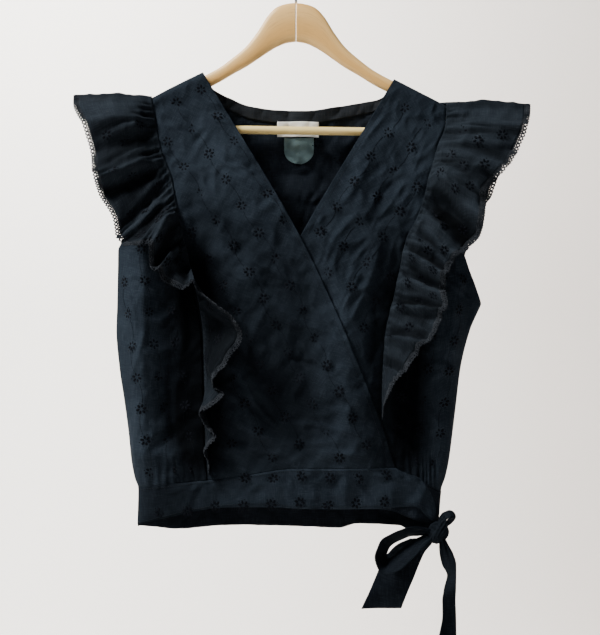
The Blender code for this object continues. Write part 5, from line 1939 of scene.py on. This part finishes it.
# line, which way the stitches lie from it, top and bottom, side of the body, and lift of the panel
stitchedEdges = (
    (wrapEdge, -1, -160, -634, -1, overGrow),
    (underEdge, 1, -166, -352, -1, flatGrow),
    (leftArmhole, 1, -250, -364, -1, overGrow),
    (rightArmhole, -1, -250, -432, -1, flatGrow),
    (leftArmhole, 1, -250, -364, 1, flatGrow),
    (rightArmhole, -1, -250, -432, 1, flatGrow),
)
for table, inwards, top, bottom, side, grow in stitchedEdges:
    z = np.linspace(top, bottom, 260)
    x = read(table, "x", z) + inwards * stitch["inset"]
    stitchAlong(*surfaceAt(x, z, side, grow)[:2])
for name, side in (("waistband_over", -1), ("waistband_under", -1), ("waistband_back", 1)):
    grid = bandGrids[name]
    for row in (1, -2):
        way = np.array([0.0, side, 0.0])
        line = grid[row][6:-4] + way * (panels["bandThick"] * 0.5 - 0.2)
        stitchAlong(line, np.tile(way, (len(line), 1)))
spots, ways, runs = (np.concatenate([line[i] for line in stitchLines]) for i in range(3))
item = grown("edge_stitches", pointsMesh("stitches", spots, ways, runs), stitchNodes)
keepPiece(item)
print("stitches made")


# Stage
stage = {
    "eye": 1.8,                # metres from the camera to the top
    "tall": 0.794,             # height of the view at the top, in metres
    "centre": (0.005, 0.0, -0.4506),
    "sensor": 36,
    "wallAt": 4.5,
    "wallTop": 3.5,
    "floorAt": -1.55,
    "floorFront": -6.0,
    "bend": 1.2,
    "halfWide": 7.0,
    "skyColour": (0.92, 0.94, 1.0, 1),
    "sky": 0.09,
}


def backdropMaterial():
    material, tree, shader = nodesOf("pale_plaster")
    place = addNode(tree, "ShaderNodeTexCoord").outputs["Object"]
    grain = noiseNode(tree, place, 30.0, 4.0, 0.6)
    cloud = noiseNode(tree, place, 0.7, 2.0)
    split = addNode(tree, "ShaderNodeSeparateXYZ", Vector=place)
    # Painted shade: the wall is painted darker towards the right, where the light falls off
    across = rangeNode(tree, split.outputs["X"], -1.1, 1.1)
    colour = mixColour(tree, across, (0.86, 0.85, 0.83, 1), (0.72, 0.68, 0.65, 1))
    colour = mixColour(tree, rangeNode(tree, cloud, 0.3, 0.7, 0.0, 0.2), colour, (0.78, 0.75, 0.72, 1))
    tree.links.new(colour, shader.inputs["Base Color"])
    tree.links.new(rangeNode(tree, grain, 0.3, 0.7, 0.75, 0.9), shader.inputs["Roughness"])
    addBump(tree, shader, grain, 0.1, 0.002)
    return material


profile = [(stage["floorFront"], stage["floorAt"])]
for i in range(13):
    angle = i / 12 * math.pi / 2
    y = stage["wallAt"] - stage["bend"] + stage["bend"] * math.sin(angle)
    profile.append((y, stage["floorAt"] + stage["bend"] - stage["bend"] * math.cos(angle)))
profile.append((stage["wallAt"], stage["wallTop"]))
vertices = [(x, y, z) for y, z in profile for x in (-stage["halfWide"], stage["halfWide"])]
faces = [(2 * i, 2 * i + 1, 2 * i + 3, 2 * i + 2) for i in range(len(profile) - 1)]
backdropMesh = bpy.data.meshes.new("backdrop")
backdropMesh.from_pydata(vertices, [], faces)
backdropMesh.shade_smooth()
backdropMesh.materials.append(backdropMaterial())
newObject("backdrop", backdropMesh)

world = bpy.data.worlds.new("studio")
bpy.context.scene.world = world
world.use_nodes = True
sky = world.node_tree.nodes["Background"]
sky.inputs["Color"].default_value = stage["skyColour"]
sky.inputs["Strength"].default_value = stage["sky"]

lamps = (
    # name, place, aimed at, size, watts, colour
    ("window", (-2.0, -1.1, 2.1), (0.0, 0.0, -0.4), 0.9, 230, (1.0, 0.99, 0.96)),
    ("room", (0.9, -3.2, 0.4), (0.0, 0.0, -0.45), 2.4, 3, (0.93, 0.96, 1.0)),
    ("wall_wash", (-1.5, 2.0, 1.8), (0.1, 4.5, 0.05), 2.2, 500, (1.0, 0.965, 0.915)),
)
for name, spot, aim, size, watts, colour in lamps:
    light = bpy.data.lights.new(name, "AREA")
    light.shape = "SQUARE"
    light.size = size
    light.energy = watts
    light.color = colour
    lamp = newObject(name, light)
    lamp.location = spot
    lamp.rotation_euler = (Vector(aim) - Vector(spot)).to_track_quat("-Z", "Y").to_euler()
    lamp.visible_camera = False

lens = bpy.data.cameras.new("camera")
lens.sensor_fit = "VERTICAL"
lens.sensor_height = stage["sensor"]
lens.lens = stage["sensor"] * stage["eye"] / stage["tall"]
camera = newObject("camera", lens)
x, y, z = stage["centre"]
camera.location = (x, y - stage["eye"], z)
camera.rotation_euler = (math.pi / 2, 0, 0)
bpy.context.scene.camera = camera
print("stage set")
